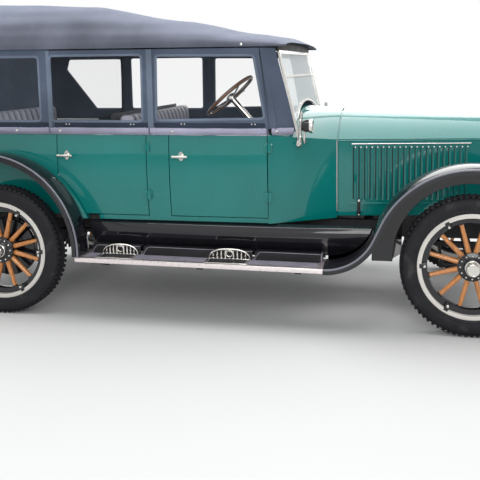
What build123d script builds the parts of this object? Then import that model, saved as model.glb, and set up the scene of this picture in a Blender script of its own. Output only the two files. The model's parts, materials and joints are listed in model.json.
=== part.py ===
from build123d import *
import math
import os

os.makedirs("parts", exist_ok=True)

# Touring car of the early 1920s with its folding top and side curtains up.
# Millimetres. X runs forward, Y to the car's left, Z up from the ground.
# Inside this file X is counted from the rear axle, and every piece is moved by
# one shift at the end, so that the origin lies under the middle of the car.

# Wheels and axles
wheelbase = 2955.0
track = 1422.0
tyre_r = 418.0
tyre_w = 118.0
rim_r = 300.0
rim_flange_r = 314.0
rim_w = 108.0
felloe_inner_r = 254.0
felloe_w = 50.0
spoke_count = 12
spoke_w = 30.0
hub_flange_r = 85.0
hub_w = 90.0
hub_cap_r = 44.0
hub_cap_reach = 100.0
spindle_r = 22.0
drum_r = 190.0
drum_w = 46.0
kingpin_y = track / 2 - 115.0
kingpin_r = 13.0
steer_arm = 170.0

# Chassis
rail_y = 375.0
rail_w = 50.0
rail_bottom = 505.0
rail_top = 605.0
rail_front = wheelbase + 375.0
rail_rear = -640.0
horn_len = 160.0
front_spring_half = 385.0
rear_spring_half = 600.0
spring_w = 50.0
spring_t = 34.0

# Body tub
body_half = track / 2 - 31.0
side_turn_under = 26.0
side_tumble = 8.0
side_bulge_z = 900.0
body_bottom = 622.0
belt_z = 1160.0
wall = 36.0
body_back = -560.0
corner_r = 270.0
floor_t = 14.0
door_gap = 5.0
door_bottom = 656.0
post_front_x = 1126.0
post_rear_x = 984.0
front_door_front = 1744.0
rear_door_rear = 392.0
handle_z = belt_z - 129.0
front_handle_x = 1206.0
rear_handle_x = 454.0
handle_half = 46.0
handle_stand = 34.0
hinge_r = 7.0
hinge_len = 56.0
hinge_low = 760.0
hinge_high = belt_z - 100.0

# Cowl and bonnet
cowl_top_rear = 1862.0
cowl_front = 2140.0
cowl_rise = 158.0
bonnet_gap = 8.0
bonnet_front = wheelbase + 105.0
bonnet_half_rear = 432.0
bonnet_half_front = 298.0
crease_z = belt_z - 42.0
bonnet_top_rear = crease_z + 171.0
bonnet_top_front = crease_z + 132.0
bonnet_bottom = 636.0
sheet = 4.0
louvre_count = 21
louvre_first_x = cowl_front + 114.0
louvre_last_x = bonnet_front - 118.0
louvre_top = crease_z - 40.0
louvre_foot = 733.0
louvre_proud = 11.0
louvre_w = 20.0

# Radiator and lamps
radiator_gap = 14.0
radiator_t = 92.0
radiator_bottom = 560.0
shell_lip = 6.0
shell_ledge_len = 26.0
lamp_r = 122.0
lamp_x = wheelbase + 260.0
lamp_y = 405.0
lamp_z = 905.0
lamp_depth = 150.0

# Fenders, aprons and running boards
rear_fender_in = body_half + 1.0
rear_fender_w = 169.0
front_fender_w = 250.0
fender_out = rear_fender_in + rear_fender_w
front_fender_in = fender_out - front_fender_w
front_fender_r = 575.0
front_fender_crown = 24.0
front_fender_lip = 28.0
front_fender_tip = 33.0
front_fender_leave = 155.0
rear_fender_x = -30.0
rear_fender_z = 445.0
rear_fender_r = 604.0
rear_fender_edge = 10.0
rear_fender_lip = 36.0
fender_t = 5.0
board_top_rear = 407.0
board_top_front = 392.0
board_t = 24.0
board_rear = 556.0
board_front = wheelbase - 855.0
board_out = fender_out - 4.0
apron_top_y = body_half - 12.0
apron_top_z = 616.0
apron_foot_y = apron_top_y - 56.0
apron_t = 5.0

# Top and curtains
top_half = body_half + 10.0
hem_z = 1692.0
top_t = 7.0
top_corner = 235.0
curtain_y = body_half - 12.0
curtain_t = 6.0
curtain_top = hem_z - 8.0
window_low = belt_z + 83.0
window_high = curtain_top - 36.0
quarter_slope_z = window_high - 88.0
back_window_half = 190.0
back_window_low = belt_z + 160.0
back_window_high = hem_z - 132.0
curtain_lift = 6.0

# Windscreen, steering and dashboard
screen_foot_x = 1930.0
screen_foot_z = belt_z - 38.0
screen_slant = 13.0
screen_y = body_half - 96.0
screen_post = 24.0
screen_head_gap = 24.0
screen_height = (hem_z - screen_head_gap - screen_foot_z) / math.cos(math.radians(screen_slant))
screen_bar_z = hem_z - 182.0
roof_overhang = 62.0
roof_front = screen_foot_x - screen_height * math.sin(math.radians(screen_slant)) + roof_overhang
glass_t = 5.0
steer_y = -330.0
steer_hub_x = 1434.0
steer_hub_z = 1386.0
steer_r = 195.0
steer_fall = 48.8
column_r = 19.0
dash_x = 1866.0
dash_t = 14.0
dash_foot = belt_z - 85.0

# Seats
seat_half = body_half - 90.0
cushion_bottom = 830.0
cushion_top = 965.0
front_seat_x = 900.0
front_seat_depth = 450.0
rear_seat_x = -200.0
rear_seat_depth = 520.0
backrest_t = 125.0
backrest_top = 1300.0

# Spare wheel at the tail
spare_x = -760.0
spare_z = 790.0

# Clearances and seats between pieces
seat = 0.3
axle_z = tyre_r

tip_lean = math.radians(front_fender_tip)
front_reach = wheelbase + (front_fender_r + front_fender_crown) * math.cos(tip_lean)
rear_reach = spare_x - tyre_w / 2
middle_x = (front_reach + rear_reach) / 2


# Shape helpers

def box(x0, x1, y0, y1, z0, z1):
    return Pos((x0 + x1) / 2, (y0 + y1) / 2, (z0 + z1) / 2) * Box(x1 - x0, y1 - y0, z1 - z0)


def rod(a, b, r):
    a, b = Vector(*a), Vector(*b)
    return Solid.make_cylinder(r, (b - a).length, Plane(origin=a, z_dir=b - a))


def face_of(points, place):
    """Closed face through (a, b) corners; a corner with a third entry is the middle of an arc."""
    placed = [(place(p[0], p[1]), len(p) > 2) for p in points]
    placed.append(placed[0])
    edges = []
    i = 0
    while i < len(placed) - 1:
        if placed[i + 1][1]:
            edges.append(Edge.make_three_point_arc(placed[i][0], placed[i + 1][0], placed[i + 2][0]))
            i += 2
        else:
            edges.append(Edge.make_line(placed[i][0], placed[i + 1][0]))
            i += 1
    return Face(Wire(edges))


def prism_y(points, y0, y1):
    """Outline in X and Z, extruded from y0 to y1."""
    face = face_of(points, lambda x, z: Vector(x, y0, z))
    return Solid.extrude(face, Vector(0, y1 - y0, 0))


def prism_x(points, x0, x1):
    """Outline in Y and Z, extruded from x0 to x1."""
    face = face_of(points, lambda y, z: Vector(x0, y, z))
    return Solid.extrude(face, Vector(x1 - x0, 0, 0))


def prism_z(points, z0, z1):
    """Outline in X and Y, extruded from z0 to z1."""
    face = face_of(points, lambda x, y: Vector(x, y, z0))
    return Solid.extrude(face, Vector(0, 0, z1 - z0))


def spin_y(points, y_mid):
    """Outline in radius and Y, turned about a lateral axis through the origin."""
    face = face_of(points, lambda r, y: Vector(r, y + y_mid, 0))
    return Solid.revolve(face, 360, Axis.Y)


def both_sides(shapes):
    return shapes + [s.mirror(Plane.XZ) for s in shapes]


def on_circle(cx, cz, r, degrees):
    a = math.radians(degrees)
    return cx + r * math.cos(a), cz + r * math.sin(a)


def node(name, *shapes):
    solids = []
    for shape in shapes:
        solids += shape.solids()
    solids = [s.moved(Location((-middle_x, 0, 0))) for s in solids]
    whole = Compound(children=solids) if len(solids) > 1 else solids[0]
    export_step(whole, os.path.join("parts", name + ".step"))


# Wheels: outer face toward -Y, centre at the origin

def tyre():
    half = tyre_w / 2
    bead = rim_w / 2 - 8 - seat
    return spin_y([
        (rim_r + seat, -bead), (rim_flange_r + 2, -bead), (rim_r + 52, -half, "arc"),
        (tyre_r - 16, -half + 8), (tyre_r, -half + 22), (tyre_r, half - 22), (tyre_r - 16, half - 8),
        (rim_r + 52, half, "arc"), (rim_flange_r + 2, bead), (rim_r + seat, bead)], 0)


def rim():
    half = rim_w / 2
    base = rim_r - 12
    return spin_y([(base, -half), (rim_flange_r, -half), (rim_flange_r, -half + 7), (rim_r, -half + 8),
                   (rim_r, half - 8), (rim_flange_r, half - 7), (rim_flange_r, half), (base, half)], 0)


def spoked_wheel(with_drum):
    half = hub_w / 2
    felloe = spin_y([(felloe_inner_r, -felloe_w / 2), (rim_r - 11, -felloe_w / 2),
                     (rim_r - 11, felloe_w / 2), (felloe_inner_r, felloe_w / 2)], 0)
    bore_r = spindle_r + 1
    hub = spin_y([(0, -half - hub_cap_reach + 20), (hub_cap_r - 10, -half - hub_cap_reach + 20),
                  (hub_cap_r, -half - hub_cap_reach + 34), (hub_cap_r, -half - 12), (hub_flange_r, -half + 8),
                  (hub_flange_r, half - 8), (60, half), (bore_r, half), (bore_r, -half + 12),
                  (0, -half + 12)], 0)
    wheel = rim() + felloe + hub
    for i in range(spoke_count):
        spoke = Solid.make_cone(spoke_w / 2 + 4, spoke_w / 2 - 2, felloe_inner_r + 8 - hub_flange_r + 14,
                                Plane(origin=(0, 0, hub_flange_r - 14), z_dir=(0, 0, 1)))
        wheel += spoke.rotate(Axis.Y, (i + 0.5) * 360 / spoke_count)
    if with_drum:
        inner = half + 1
        wheel += spin_y([(bore_r + 12, half - 10), (drum_r, inner - 6), (drum_r, inner + drum_w),
                         (drum_r - 8, inner + drum_w), (drum_r - 8, inner + 6), (bore_r + 12, inner + 4)], 0)
    return wheel


wheel_places = [
    ("rear_right", 0.0, -1, True),
    ("rear_left", 0.0, 1, True),
    ("front_right", wheelbase, -1, False),
    ("front_left", wheelbase, 1, False),
]
plain_tyre = tyre()
for name, x, side, rear in wheel_places:
    turned = spoked_wheel(rear)
    if side > 0:
        turned = turned.mirror(Plane.XZ)
    place = Location((x, side * track / 2, axle_z))
    node("tyre_" + name, plain_tyre.moved(place))
    node("wheel_" + name, turned.moved(place))

# Spare tyre on its demountable rim, standing across the tail
spare_place = Location((spare_x, 0, spare_z), (0, 0, -90))
node("spare_tyre", plain_tyre.moved(spare_place))
carrier_ring_r = rim_r - 12 - seat
ring_plane = Plane(origin=(spare_x + 10, 0, spare_z), z_dir=(1, 0, 0))
carrier = Solid.make_cylinder(carrier_ring_r, 10, ring_plane)
carrier -= Solid.make_cylinder(carrier_ring_r - 34, 10, ring_plane)
carrier_post_x = spare_x + tyre_w / 2 + 12
carrier_post_y = 150.0
carrier_bar_z = 100.0
carrier_half = 16.0
for y in (-carrier_post_y, carrier_post_y):
    y0, y1 = y - carrier_half, y + carrier_half
    carrier += box(carrier_post_x, carrier_post_x + 24, y0, y1, rail_bottom + 20, spare_z + 130)
    carrier += box(carrier_post_x, rail_rear - seat, y0, y1, rail_bottom + 20, rail_bottom + 70)
    for z in (spare_z - carrier_bar_z, spare_z + carrier_bar_z):
        carrier += box(spare_x + 10, carrier_post_x + 12, y0, y1, z - 14, z + 14)
for z in (spare_z - carrier_bar_z, spare_z + carrier_bar_z):
    carrier += box(spare_x + 10, spare_x + 20, -carrier_ring_r + 50, carrier_ring_r - 50,
                   z - carrier_half, z + carrier_half)
node("spare_carrier", carrier)
node("spare_rim", rim().moved(spare_place))

# Front axle, knuckles and tie rod
eye_r = 27.0
beam_y = kingpin_y - 20
axle = box(wheelbase - 24, wheelbase + 24, -beam_y, beam_y, axle_z - 23, axle_z + 23)
for side in (-1, 1):
    axle += rod((wheelbase, side * kingpin_y, axle_z - 23), (wheelbase, side * kingpin_y, axle_z + 23), eye_r)
    axle -= rod((wheelbase, side * kingpin_y, axle_z - 60), (wheelbase, side * kingpin_y, axle_z + 60),
                kingpin_r + 1)
web = box(wheelbase - 24, wheelbase - 8, -beam_y + 60, beam_y - 60, axle_z - 11, axle_z + 11)
axle -= web
axle -= web.moved(Location((32, 0, 0)))
node("front_axle", axle)

lug_gap = 5.0
lug_t = 22.0
lug_low = axle_z - 23 - lug_gap - lug_t
lug_high = axle_z + 23 + lug_gap + lug_t
arm_x = wheelbase - steer_arm
arm_y = kingpin_y - 40
arm_z = lug_low + 8
ball_r = 15.0


def knuckle():
    """Right-hand stub axle: a fork round the axle's eye, a spindle, and an arm toward the rear."""
    y = -kingpin_y
    back = y - 44
    stub = rod((wheelbase, y, lug_low - 6), (wheelbase, y, lug_high + 6), kingpin_r)
    for z in (lug_low, lug_high - lug_t):
        stub += rod((wheelbase, y, z), (wheelbase, y, z + lug_t), eye_r - 1)
        stub += box(wheelbase - 22, wheelbase + 22, back - 7, y, z, z + lug_t)
    stub += box(wheelbase - 26, wheelbase + 26, back - 14, back, lug_low - 1, lug_high + 1)
    stub += rod((wheelbase, back - 10, axle_z), (wheelbase, -track / 2, axle_z), spindle_r)
    stub += rod((wheelbase, y, arm_z), (arm_x, -arm_y, arm_z), 9)
    return stub + rod((arm_x, -arm_y, arm_z - 16), (arm_x, -arm_y, arm_z + 16), ball_r)


node("knuckle_right", knuckle())
node("knuckle_left", knuckle().mirror(Plane.XZ))
rod_r = 11.0
tie = rod((arm_x, -arm_y + ball_r + seat, arm_z), (arm_x, arm_y - ball_r - seat, arm_z), rod_r)
node("tie_rod", tie)

# Rear axle housing with its differential and torque tube
diff_r = 138.0
tube_r = 34.0
housing_y = track / 2 - hub_w / 2 - drum_w - 12
housing = rod((0, -housing_y, axle_z), (0, housing_y, axle_z), tube_r)
case = spin_y([(0, -112), (62, -112), (diff_r, 0, "arc"), (62, 112), (0, 112)], 0)
housing += case.moved(Location((0, 0, axle_z)))
housing += rod((0, -track / 2 + 20, axle_z), (0, track / 2 - 20, axle_z), spindle_r)
middle_member_x = 1650.0
torque_front = middle_member_x + 50.0
torque_z = 520.0
torque_r = 40.0
housing += rod((0, 0, axle_z), (torque_front, 0, torque_z), torque_r)
for side in (-1, 1):
    housing += rod((0, side * (housing_y - 12), axle_z), (0, side * housing_y, axle_z), drum_r - 16)
node("rear_axle", housing)

# Leaf springs, four packs under the rails
def spring(x_mid, seat_z, half):
    end_z = rail_bottom - 8
    eye_z = rail_bottom - 12 - seat
    points = [(x_mid - half, end_z - 10), (x_mid, seat_z, "arc"), (x_mid + half, end_z - 10),
              (x_mid + half, end_z), (x_mid, seat_z + spring_t, "arc"), (x_mid - half, end_z)]
    pack = prism_y(points, rail_y - spring_w / 2, rail_y + spring_w / 2)
    for end in (-1, 1):
        x = x_mid + end * half
        pack += rod((x, rail_y - spring_w / 2, eye_z), (x, rail_y + spring_w / 2, eye_z), 12)
    return pack


springs = []
springs.append(spring(wheelbase, axle_z + 23 + seat, front_spring_half))
springs.append(spring(0, axle_z + tube_r + seat, rear_spring_half))
node("leaf_springs", *both_sides(springs))

# Frame: two rails and the cross members between them
rail_points = [(rail_rear, rail_bottom), (rail_front, rail_bottom),
               (rail_front + 18, rail_bottom + 20), (rail_front - horn_len, rail_top), (rail_rear, rail_top)]
node("frame_rails", *both_sides([prism_y(rail_points, rail_y - rail_w / 2, rail_y + rail_w / 2)]))
member_in = rail_y - rail_w / 2
members = [
    # x, length along X, bottom, top
    (rail_rear + 30, 60, rail_bottom + 10, rail_top),
    (700.0, 70, rail_bottom + 30, rail_top),
    (middle_member_x, 70, rail_bottom + 30, rail_top),
    (wheelbase + 165.0, 80, rail_bottom, radiator_bottom - seat),
]
cross = [box(x - w / 2, x + w / 2, -member_in, member_in, low, high) for x, w, low, high in members]
cross[2] -= rod((middle_member_x - 150, 0, torque_z), (middle_member_x + 150, 0, torque_z), torque_r + 22)
node("frame_cross_members", *cross)

# Engine with clutch housing and gearbox, one plain block
engine_front = wheelbase - 15.0
engine_rear = 2240.0
clutch_rear = 1990.0
gearbox_rear = torque_front + 20.0
engine_rows = [
    # x from, x to, half width, bottom, top
    (engine_rear, engine_front, 135.0, 470.0, 1010.0),
    (clutch_rear, engine_rear, 150.0, 430.0, 600.0),
    (gearbox_rear, clutch_rear, 105.0, 450.0, 600.0),
]
engine_blocks = [box(x0, x1, -half, half, low, high) for x0, x1, half, low, high in engine_rows]
engine = engine_blocks[0] + engine_blocks[1] + engine_blocks[2]
mount_len = 50.0
for x in (engine_rear + 60.0, engine_front - 110.0):
    engine += box(x, x + mount_len, -member_in + seat, member_in - seat, rail_top - 45, rail_top - 9)
node("engine", engine)

# Exhaust pipe and silencer
pipe_y = 250.0
pipe_r = 20.0
pipe_z = axle_z + tube_r + 26
pipe_low_z = 440.0
manifold_x = 2500.0
silencer_front = 1300.0
silencer_rear = 700.0
silencer_r = 74.0
path = FilletPolyline((manifold_x, 175, 760), (manifold_x, pipe_y, 600),
                      (manifold_x - 200, pipe_y, pipe_low_z),
                      (silencer_front, pipe_y, pipe_low_z), radius=60)
front_pipe = sweep(Plane(origin=path @ 0, z_dir=path % 0) * Circle(pipe_r), path)
silencer = rod((silencer_front, pipe_y, pipe_low_z), (silencer_rear, pipe_y, pipe_low_z), silencer_r)
tail_path = FilletPolyline((silencer_rear, pipe_y, pipe_low_z), (silencer_rear - 280, pipe_y, pipe_low_z),
                           (silencer_rear - 480, pipe_y, pipe_z), (rail_rear - 50, pipe_y, pipe_z), radius=120)
tail_pipe = sweep(Plane(origin=tail_path @ 0, z_dir=tail_path % 0) * Circle(pipe_r), tail_path)
hanger = box(silencer_rear + 8, silencer_rear + 30, pipe_y - 12, pipe_y + 12, pipe_low_z + 50,
             rail_bottom + 30 - seat)
node("exhaust", front_pipe + silencer + tail_pipe + hanger)

# Fuel tank across the tail
tank_r = 118.0
tank_z = rail_top - tank_r - 6
tank_x = -430.0
tank_left = 200.0
tank = rod((tank_x, -member_in + seat, tank_z), (tank_x, tank_left, tank_z), tank_r)
tank += box(tank_x - 25, tank_x + 25, tank_left - 5, member_in - seat, rail_top - 40, rail_top - 12)
node("fuel_tank", tank)


# Body side section in Y and Z, seen as distance inside the widest line
def side_inset(z):
    if z < side_bulge_z:
        return side_turn_under * ((side_bulge_z - z) / (side_bulge_z - body_bottom)) ** 2
    return side_tumble * ((z - side_bulge_z) / (belt_z - side_bulge_z)) ** 2


def wall_points(z0, z1, half, thick):
    """Curved wall between two heights: outer line, then inner line back."""
    mid = (z0 + z1) / 2
    outer = [(half - side_inset(z0), z0), (half - side_inset(mid), mid, "arc"), (half - side_inset(z1), z1)]
    inner = [(half - side_inset(z1) - thick, z1), (half - side_inset(mid) - thick, mid, "arc"),
             (half - side_inset(z0) - thick, z0)]
    return outer + inner


def side_wall(x0, x1, z0, z1):
    """Right-hand wall between two X values, widest line at -body_half."""
    points = [(-p[0], p[1]) + p[2:] for p in wall_points(z0, z1, body_half, wall)]
    return prism_x(points, x0, x1)


def arch_disc(extra, y0, y1):
    """Disc on the rear fender's centre, used to follow its line."""
    return rod((rear_fender_x, y0, rear_fender_z), (rear_fender_x, y1, rear_fender_z), rear_fender_r + extra)


# Rear tub: sides, rounded corners and back, with the wheel arches cut out
corner_x = body_back + corner_r
corner_y = body_half - corner_r
tub_front = rear_door_rear - door_gap
arch_run = 260.0
right_side = side_wall(corner_x, tub_front + arch_run, body_bottom, belt_z)
door_void = box(tub_front, tub_front + arch_run + 40, -body_half - 40, -body_half + 90,
                body_bottom - 20, belt_z + 20)
right_side -= door_void - arch_disc(door_gap + 12, -body_half - 50, -body_half + 100)
back_points = wall_points(body_bottom, belt_z, corner_r, wall)
corner_face = face_of(back_points, lambda s, z: Vector(corner_x, -corner_y - s, z))
right_corner = Solid.revolve(corner_face, -90, Axis((corner_x, -corner_y, 0), (0, 0, 1)))
back_face = face_of(back_points, lambda s, z: Vector(corner_x - s, -corner_y, z))
back = Solid.extrude(back_face, Vector(0, 2 * corner_y, 0))
house_in = body_half - 84.0
house_r = rear_fender_r - 6
house_t = 8.0


def on_arch(r, degrees):
    return on_circle(rear_fender_x, rear_fender_z, r, degrees)


house_roof = prism_y([
    on_arch(house_r - house_t, 20), on_arch(house_r - house_t, 90) + ("arc",), on_arch(house_r - house_t, 160),
    on_arch(house_r, 160), on_arch(house_r, 90) + ("arc",), on_arch(house_r, 20)],
    -house_in, -body_half + wall - 4)
house_wall = rod((rear_fender_x, -house_in, rear_fender_z),
                 (rear_fender_x, -house_in + 6, rear_fender_z), house_r)
house_wall = house_wall & box(-2 * house_r, 2 * house_r, -body_half, 0, body_bottom + floor_t + seat, belt_z)
right_half = right_side + right_corner + house_roof + house_wall
right_half -= rod((rear_fender_x, -body_half - 50, rear_fender_z), (rear_fender_x, -house_in, rear_fender_z),
                  house_r - house_t)
tub = right_half + right_half.mirror(Plane.XZ) + back
node("rear_tub", tub)

# Sills with the posts between the doors, and the floor
sill_front = front_door_front + door_gap
sill = side_wall(tub_front + arch_run, sill_front, body_bottom, door_bottom - door_gap)
floor_half = body_half - side_turn_under - wall - 2
floor_points = [(body_back + wall + 40, -body_half + 200), (body_back + wall + 144, -house_in + 8),
                (rear_fender_x + rear_fender_r + 8, -house_in + 8),
                (rear_fender_x + rear_fender_r + 8, -floor_half), (sill_front, -floor_half),
                (cowl_front - 26, -bonnet_half_rear + 30)]
floor_points += [(x, -y) for x, y in reversed(floor_points)]
floor = prism_z(floor_points, rail_top + seat, body_bottom + floor_t)
node("floor", floor)


# Doors: hinged at their front edges, outer skin and lining as one thickness
def door(x0, x1, follows_fender):
    panel = side_wall(x0, x1, door_bottom, belt_z)
    if follows_fender:
        panel -= arch_disc(2 * door_gap + 12, -body_half - 50, -body_half + 100)
    return panel


def handle(x, z):
    y = -body_half - handle_stand
    grip = rod((x - handle_half, y, z), (x + handle_half, y, z), 8)
    return grip + rod((x, -body_half + 8, z), (x, y, z), 9)


def hinge_line(door_front):
    return door_front + door_gap / 2, -body_half - hinge_r - seat


def barrels(door_front):
    """Two hinge barrels on the door's turning line."""
    x, y = hinge_line(door_front)
    pair = [rod((x, y, z), (x, y, z + hinge_len), hinge_r)
            + box(door_front - 18, door_front, y - 5, y + 26, z, z + hinge_len)
            for z in (hinge_low, hinge_high)]
    return pair[0] + pair[1]


def leaves(door_front):
    """The fixed leaves that the barrels turn against."""
    x, y = hinge_line(door_front)
    x += hinge_r + seat
    pair = [box(x, x + 18, y - 5, y + 34, z, z + hinge_len) for z in (hinge_low, hinge_high)]
    return pair[0] + pair[1]


front_door = door(post_front_x + door_gap, front_door_front, False)
front_door += handle(front_handle_x, handle_z)
front_door += barrels(front_door_front)
rear_door = door(rear_door_rear, post_rear_x - door_gap, True)
rear_door += handle(rear_handle_x, handle_z)
rear_door += barrels(post_rear_x - door_gap)
node("door_front_right", front_door)
node("door_front_left", front_door.mirror(Plane.XZ))
node("door_rear_right", rear_door)
node("door_rear_left", rear_door.mirror(Plane.XZ))
door_frame = sill + side_wall(post_rear_x, post_front_x, body_bottom, belt_z) + leaves(post_rear_x - door_gap)
node("door_frames", *both_sides([door_frame]))


# Cowl: from the front doors to the bonnet, over a flat-sided section with an arched top
def cowl_wire(x, half, foot, shoulder, top, inset):
    points = [(-half + inset, foot), (-half + inset, shoulder - inset / 3), (0, top - inset, "arc"),
              (half - inset, shoulder - inset / 3), (half - inset, foot)]
    return face_of(points, lambda y, z: Vector(x, y, z)).outer_wire()


cowl_rear = front_door_front + door_gap
cowl_sections = [
    # x, half width, foot, shoulder, top
    (cowl_rear, body_half - 6, body_bottom, belt_z, belt_z + cowl_rise),
    (cowl_front, bonnet_half_rear, body_bottom, crease_z, bonnet_top_rear + 2),
]


def cowl_half_at(x):
    """Half width of the cowl's side at a given X."""
    (x0, half0), (x1, half1) = [row[:2] for row in cowl_sections]
    return half0 + (half1 - half0) * (x - x0) / (x1 - x0)


cowl_outer = Solid.make_loft([cowl_wire(*row, 0) for row in cowl_sections], True)
cowl_wall = 18.0
inner_rows = [
    (cowl_rear - 1, *cowl_sections[0][1:]),
    (cowl_front + 1, *cowl_sections[1][1:]),
]
cowl_inner = Solid.make_loft([cowl_wire(row[0], row[1], row[2] - 60, row[3], row[4], cowl_wall)
                              for row in inner_rows], True)
cowl = cowl_outer - cowl_inner
cowl -= prism_y([(cowl_rear - 60, belt_z + 2), (cowl_rear + 10, belt_z + 2), (cowl_top_rear, belt_z + 110),
                 (cowl_top_rear, belt_z + 2 * cowl_rise), (cowl_rear - 60, belt_z + 2 * cowl_rise)],
                -body_half, body_half)
ledge = Solid.make_loft([
    cowl_wire(cowl_front - 20, bonnet_half_rear + 4, body_bottom + 12, crease_z, bonnet_top_rear + 2, 12),
    cowl_wire(cowl_front + 26, bonnet_half_rear - 8, body_bottom + 12, crease_z,
              bonnet_top_rear - 1, 12)], True)
ledge -= Solid.make_loft([
    cowl_wire(cowl_front - 30, bonnet_half_rear + 4, body_bottom - 60, crease_z, bonnet_top_rear + 2, 16),
    cowl_wire(cowl_front + 40, bonnet_half_rear - 8, body_bottom - 60, crease_z,
              bonnet_top_rear - 1, 16)], True)
cowl += ledge
cowl += leaves(front_door_front) + leaves(front_door_front).mirror(Plane.XZ)
ridge_drop = 3.0
ridge_r = 4.5
cowl += rod((cowl_front - 6, 0, bonnet_top_rear - ridge_drop),
            (bonnet_front + radiator_gap - shell_ledge_len - seat, 0, bonnet_top_front - ridge_drop), ridge_r)
node("cowl", cowl)

# Dashboard and the bulkhead in front of the feet
firewall_wire = cowl_wire(cowl_front - 36, bonnet_half_rear + 10, body_bottom + floor_t + seat, crease_z,
                          bonnet_top_rear, cowl_wall + 6)
node("firewall", Solid.extrude(Face(firewall_wire), Vector(8, 0, 0)))
dash_front = dash_x + dash_t
dash_part = (dash_front - cowl_rear) / (cowl_front - cowl_rear)
dash_section = [a + (b - a) * dash_part for a, b in zip(*[row[1:] for row in cowl_sections])]
dash_wire = cowl_wire(dash_x, *dash_section, cowl_wall + seat)
dash = Solid.extrude(Face(dash_wire), Vector(dash_t, 0, 0))
dash = dash & box(dash_x, dash_front, -body_half, body_half, dash_foot, belt_z + cowl_rise)
node("dashboard", dash)


# Bonnet: two top panels hinged on the ridge, two side panels hinged at the crease
bonnet_rear = cowl_front + bonnet_gap
bonnet_span = bonnet_front - bonnet_rear
side_turn = math.degrees(math.atan((bonnet_half_rear - bonnet_half_front) / bonnet_span))


def bonnet_top(thick_side):
    """Right-hand top panel, a ruled sheet from the ridge to the crease."""
    sections = []
    for x, half, top in ((bonnet_rear, bonnet_half_rear, bonnet_top_rear),
                         (bonnet_front, bonnet_half_front, bonnet_top_front)):
        rise = top - crease_z
        radius = (half * half + rise * rise) / (2 * rise)
        centre_z = top - radius
        edge = math.atan2(half, crease_z - centre_z)
        start = math.asin(thick_side / radius)
        points = []
        for r, order in ((radius, (start, (start + edge) / 2, edge)),
                         (radius - sheet, (edge, (start + edge) / 2, start))):
            for i, a in enumerate(order):
                p = (-r * math.sin(a), centre_z + r * math.cos(a))
                points.append(p + ("arc",) if i == 1 else p)
        sections.append(face_of(points, lambda y, z, x=x: Vector(x, y, z)).outer_wire())
    return Solid.make_loft(sections, True)


ridge_gap = 5.0
node("bonnet_top_right", bonnet_top(ridge_gap))
node("bonnet_top_left", bonnet_top(ridge_gap).mirror(Plane.XZ))

crease_drop = 8.5
crease_r = 5.0


def bonnet_side():
    """Right-hand side panel with its louvres, built along X and then turned to the taper."""
    length = bonnet_span / math.cos(math.radians(side_turn))
    panel = box(0, length, 0, sheet, bonnet_bottom, crease_z - crease_drop)
    panel += rod((0, sheet / 2, crease_z - crease_drop), (length, sheet / 2, crease_z - crease_drop), crease_r)
    pitch = (louvre_last_x - louvre_first_x) / (louvre_count - 1)
    for i in range(louvre_count):
        x = louvre_first_x - bonnet_rear + i * pitch
        panel += prism_z([(x - louvre_w / 2, 1), (x + louvre_w / 2 - 4, -louvre_proud), (x + louvre_w / 2, 1)],
                         louvre_foot, louvre_top)
    first = louvre_first_x - bonnet_rear - pitch
    last = louvre_last_x - bonnet_rear + pitch
    for z in (louvre_foot - 22, louvre_top + 16):
        panel += box(first, last, -6, 1, z - 5, z + 5)
    return panel.rotate(Axis.Z, side_turn).moved(Location((bonnet_rear, -bonnet_half_rear, 0)))


node("bonnet_side_right", bonnet_side())
node("bonnet_side_left", bonnet_side().mirror(Plane.XZ))

# Radiator shell and core
shell_rear = bonnet_front + radiator_gap
shell_front = shell_rear + radiator_t
shell_half = bonnet_half_front + shell_lip
shell_top = bonnet_top_front + shell_lip + 4


def shell_face(x, inset, foot):
    return Face(cowl_wire(x, shell_half, foot, crease_z, shell_top, inset))


shell_solid = Solid.extrude(shell_face(shell_rear, 0, radiator_bottom), Vector(radiator_t, 0, 0))
shell_mouth = shell_face(shell_rear - 1, 34, radiator_bottom + 70)
shell_solid -= Solid.extrude(shell_mouth, Vector(radiator_t + 2, 0, 0))
ledge_face = shell_face(shell_rear - shell_ledge_len, 16, radiator_bottom + 80)
shell_ledge = Solid.extrude(ledge_face, Vector(30, 0, 0))
shell_ledge -= Solid.extrude(shell_face(shell_rear - 27, 34, radiator_bottom + 60), Vector(40, 0, 0))
cap_z = shell_top + 26
shell_solid += shell_ledge
shell_solid += rod((shell_rear + 46, 0, shell_top - 20), (shell_rear + 46, 0, cap_z), 22)
shell_solid += rod((shell_rear + 46, 0, cap_z - 10), (shell_rear + 46, 0, cap_z + 18), 34)
node("radiator_shell", shell_solid)
core = Solid.extrude(shell_face(shell_rear + 16, 34 + seat, radiator_bottom + 70 + seat), Vector(58, 0, 0))
node("radiator_core", core)


# Lamps: two headlamps on posts, two cowl lamps and a tail lamp
def headlamp():
    body = Solid.make_cone(lamp_r, lamp_r * 0.45, lamp_depth,
                           Plane(origin=(lamp_x, -lamp_y, lamp_z), z_dir=(-1, 0, 0)))
    body += rod((lamp_x - 2, -lamp_y, lamp_z), (lamp_x + 26, -lamp_y, lamp_z), lamp_r + 7)
    post_x = lamp_x - lamp_depth / 2
    knee = (post_x, -lamp_y, rail_top + 90)
    body += rod((post_x, -lamp_y, lamp_z), (post_x, -lamp_y, knee[2] - 14), 17)
    body += rod(knee, (post_x, -rail_y, rail_top + 24), 13)
    body += rod((post_x, -rail_y, rail_top + seat), (post_x, -rail_y, rail_top + 34), 22)
    return body


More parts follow.
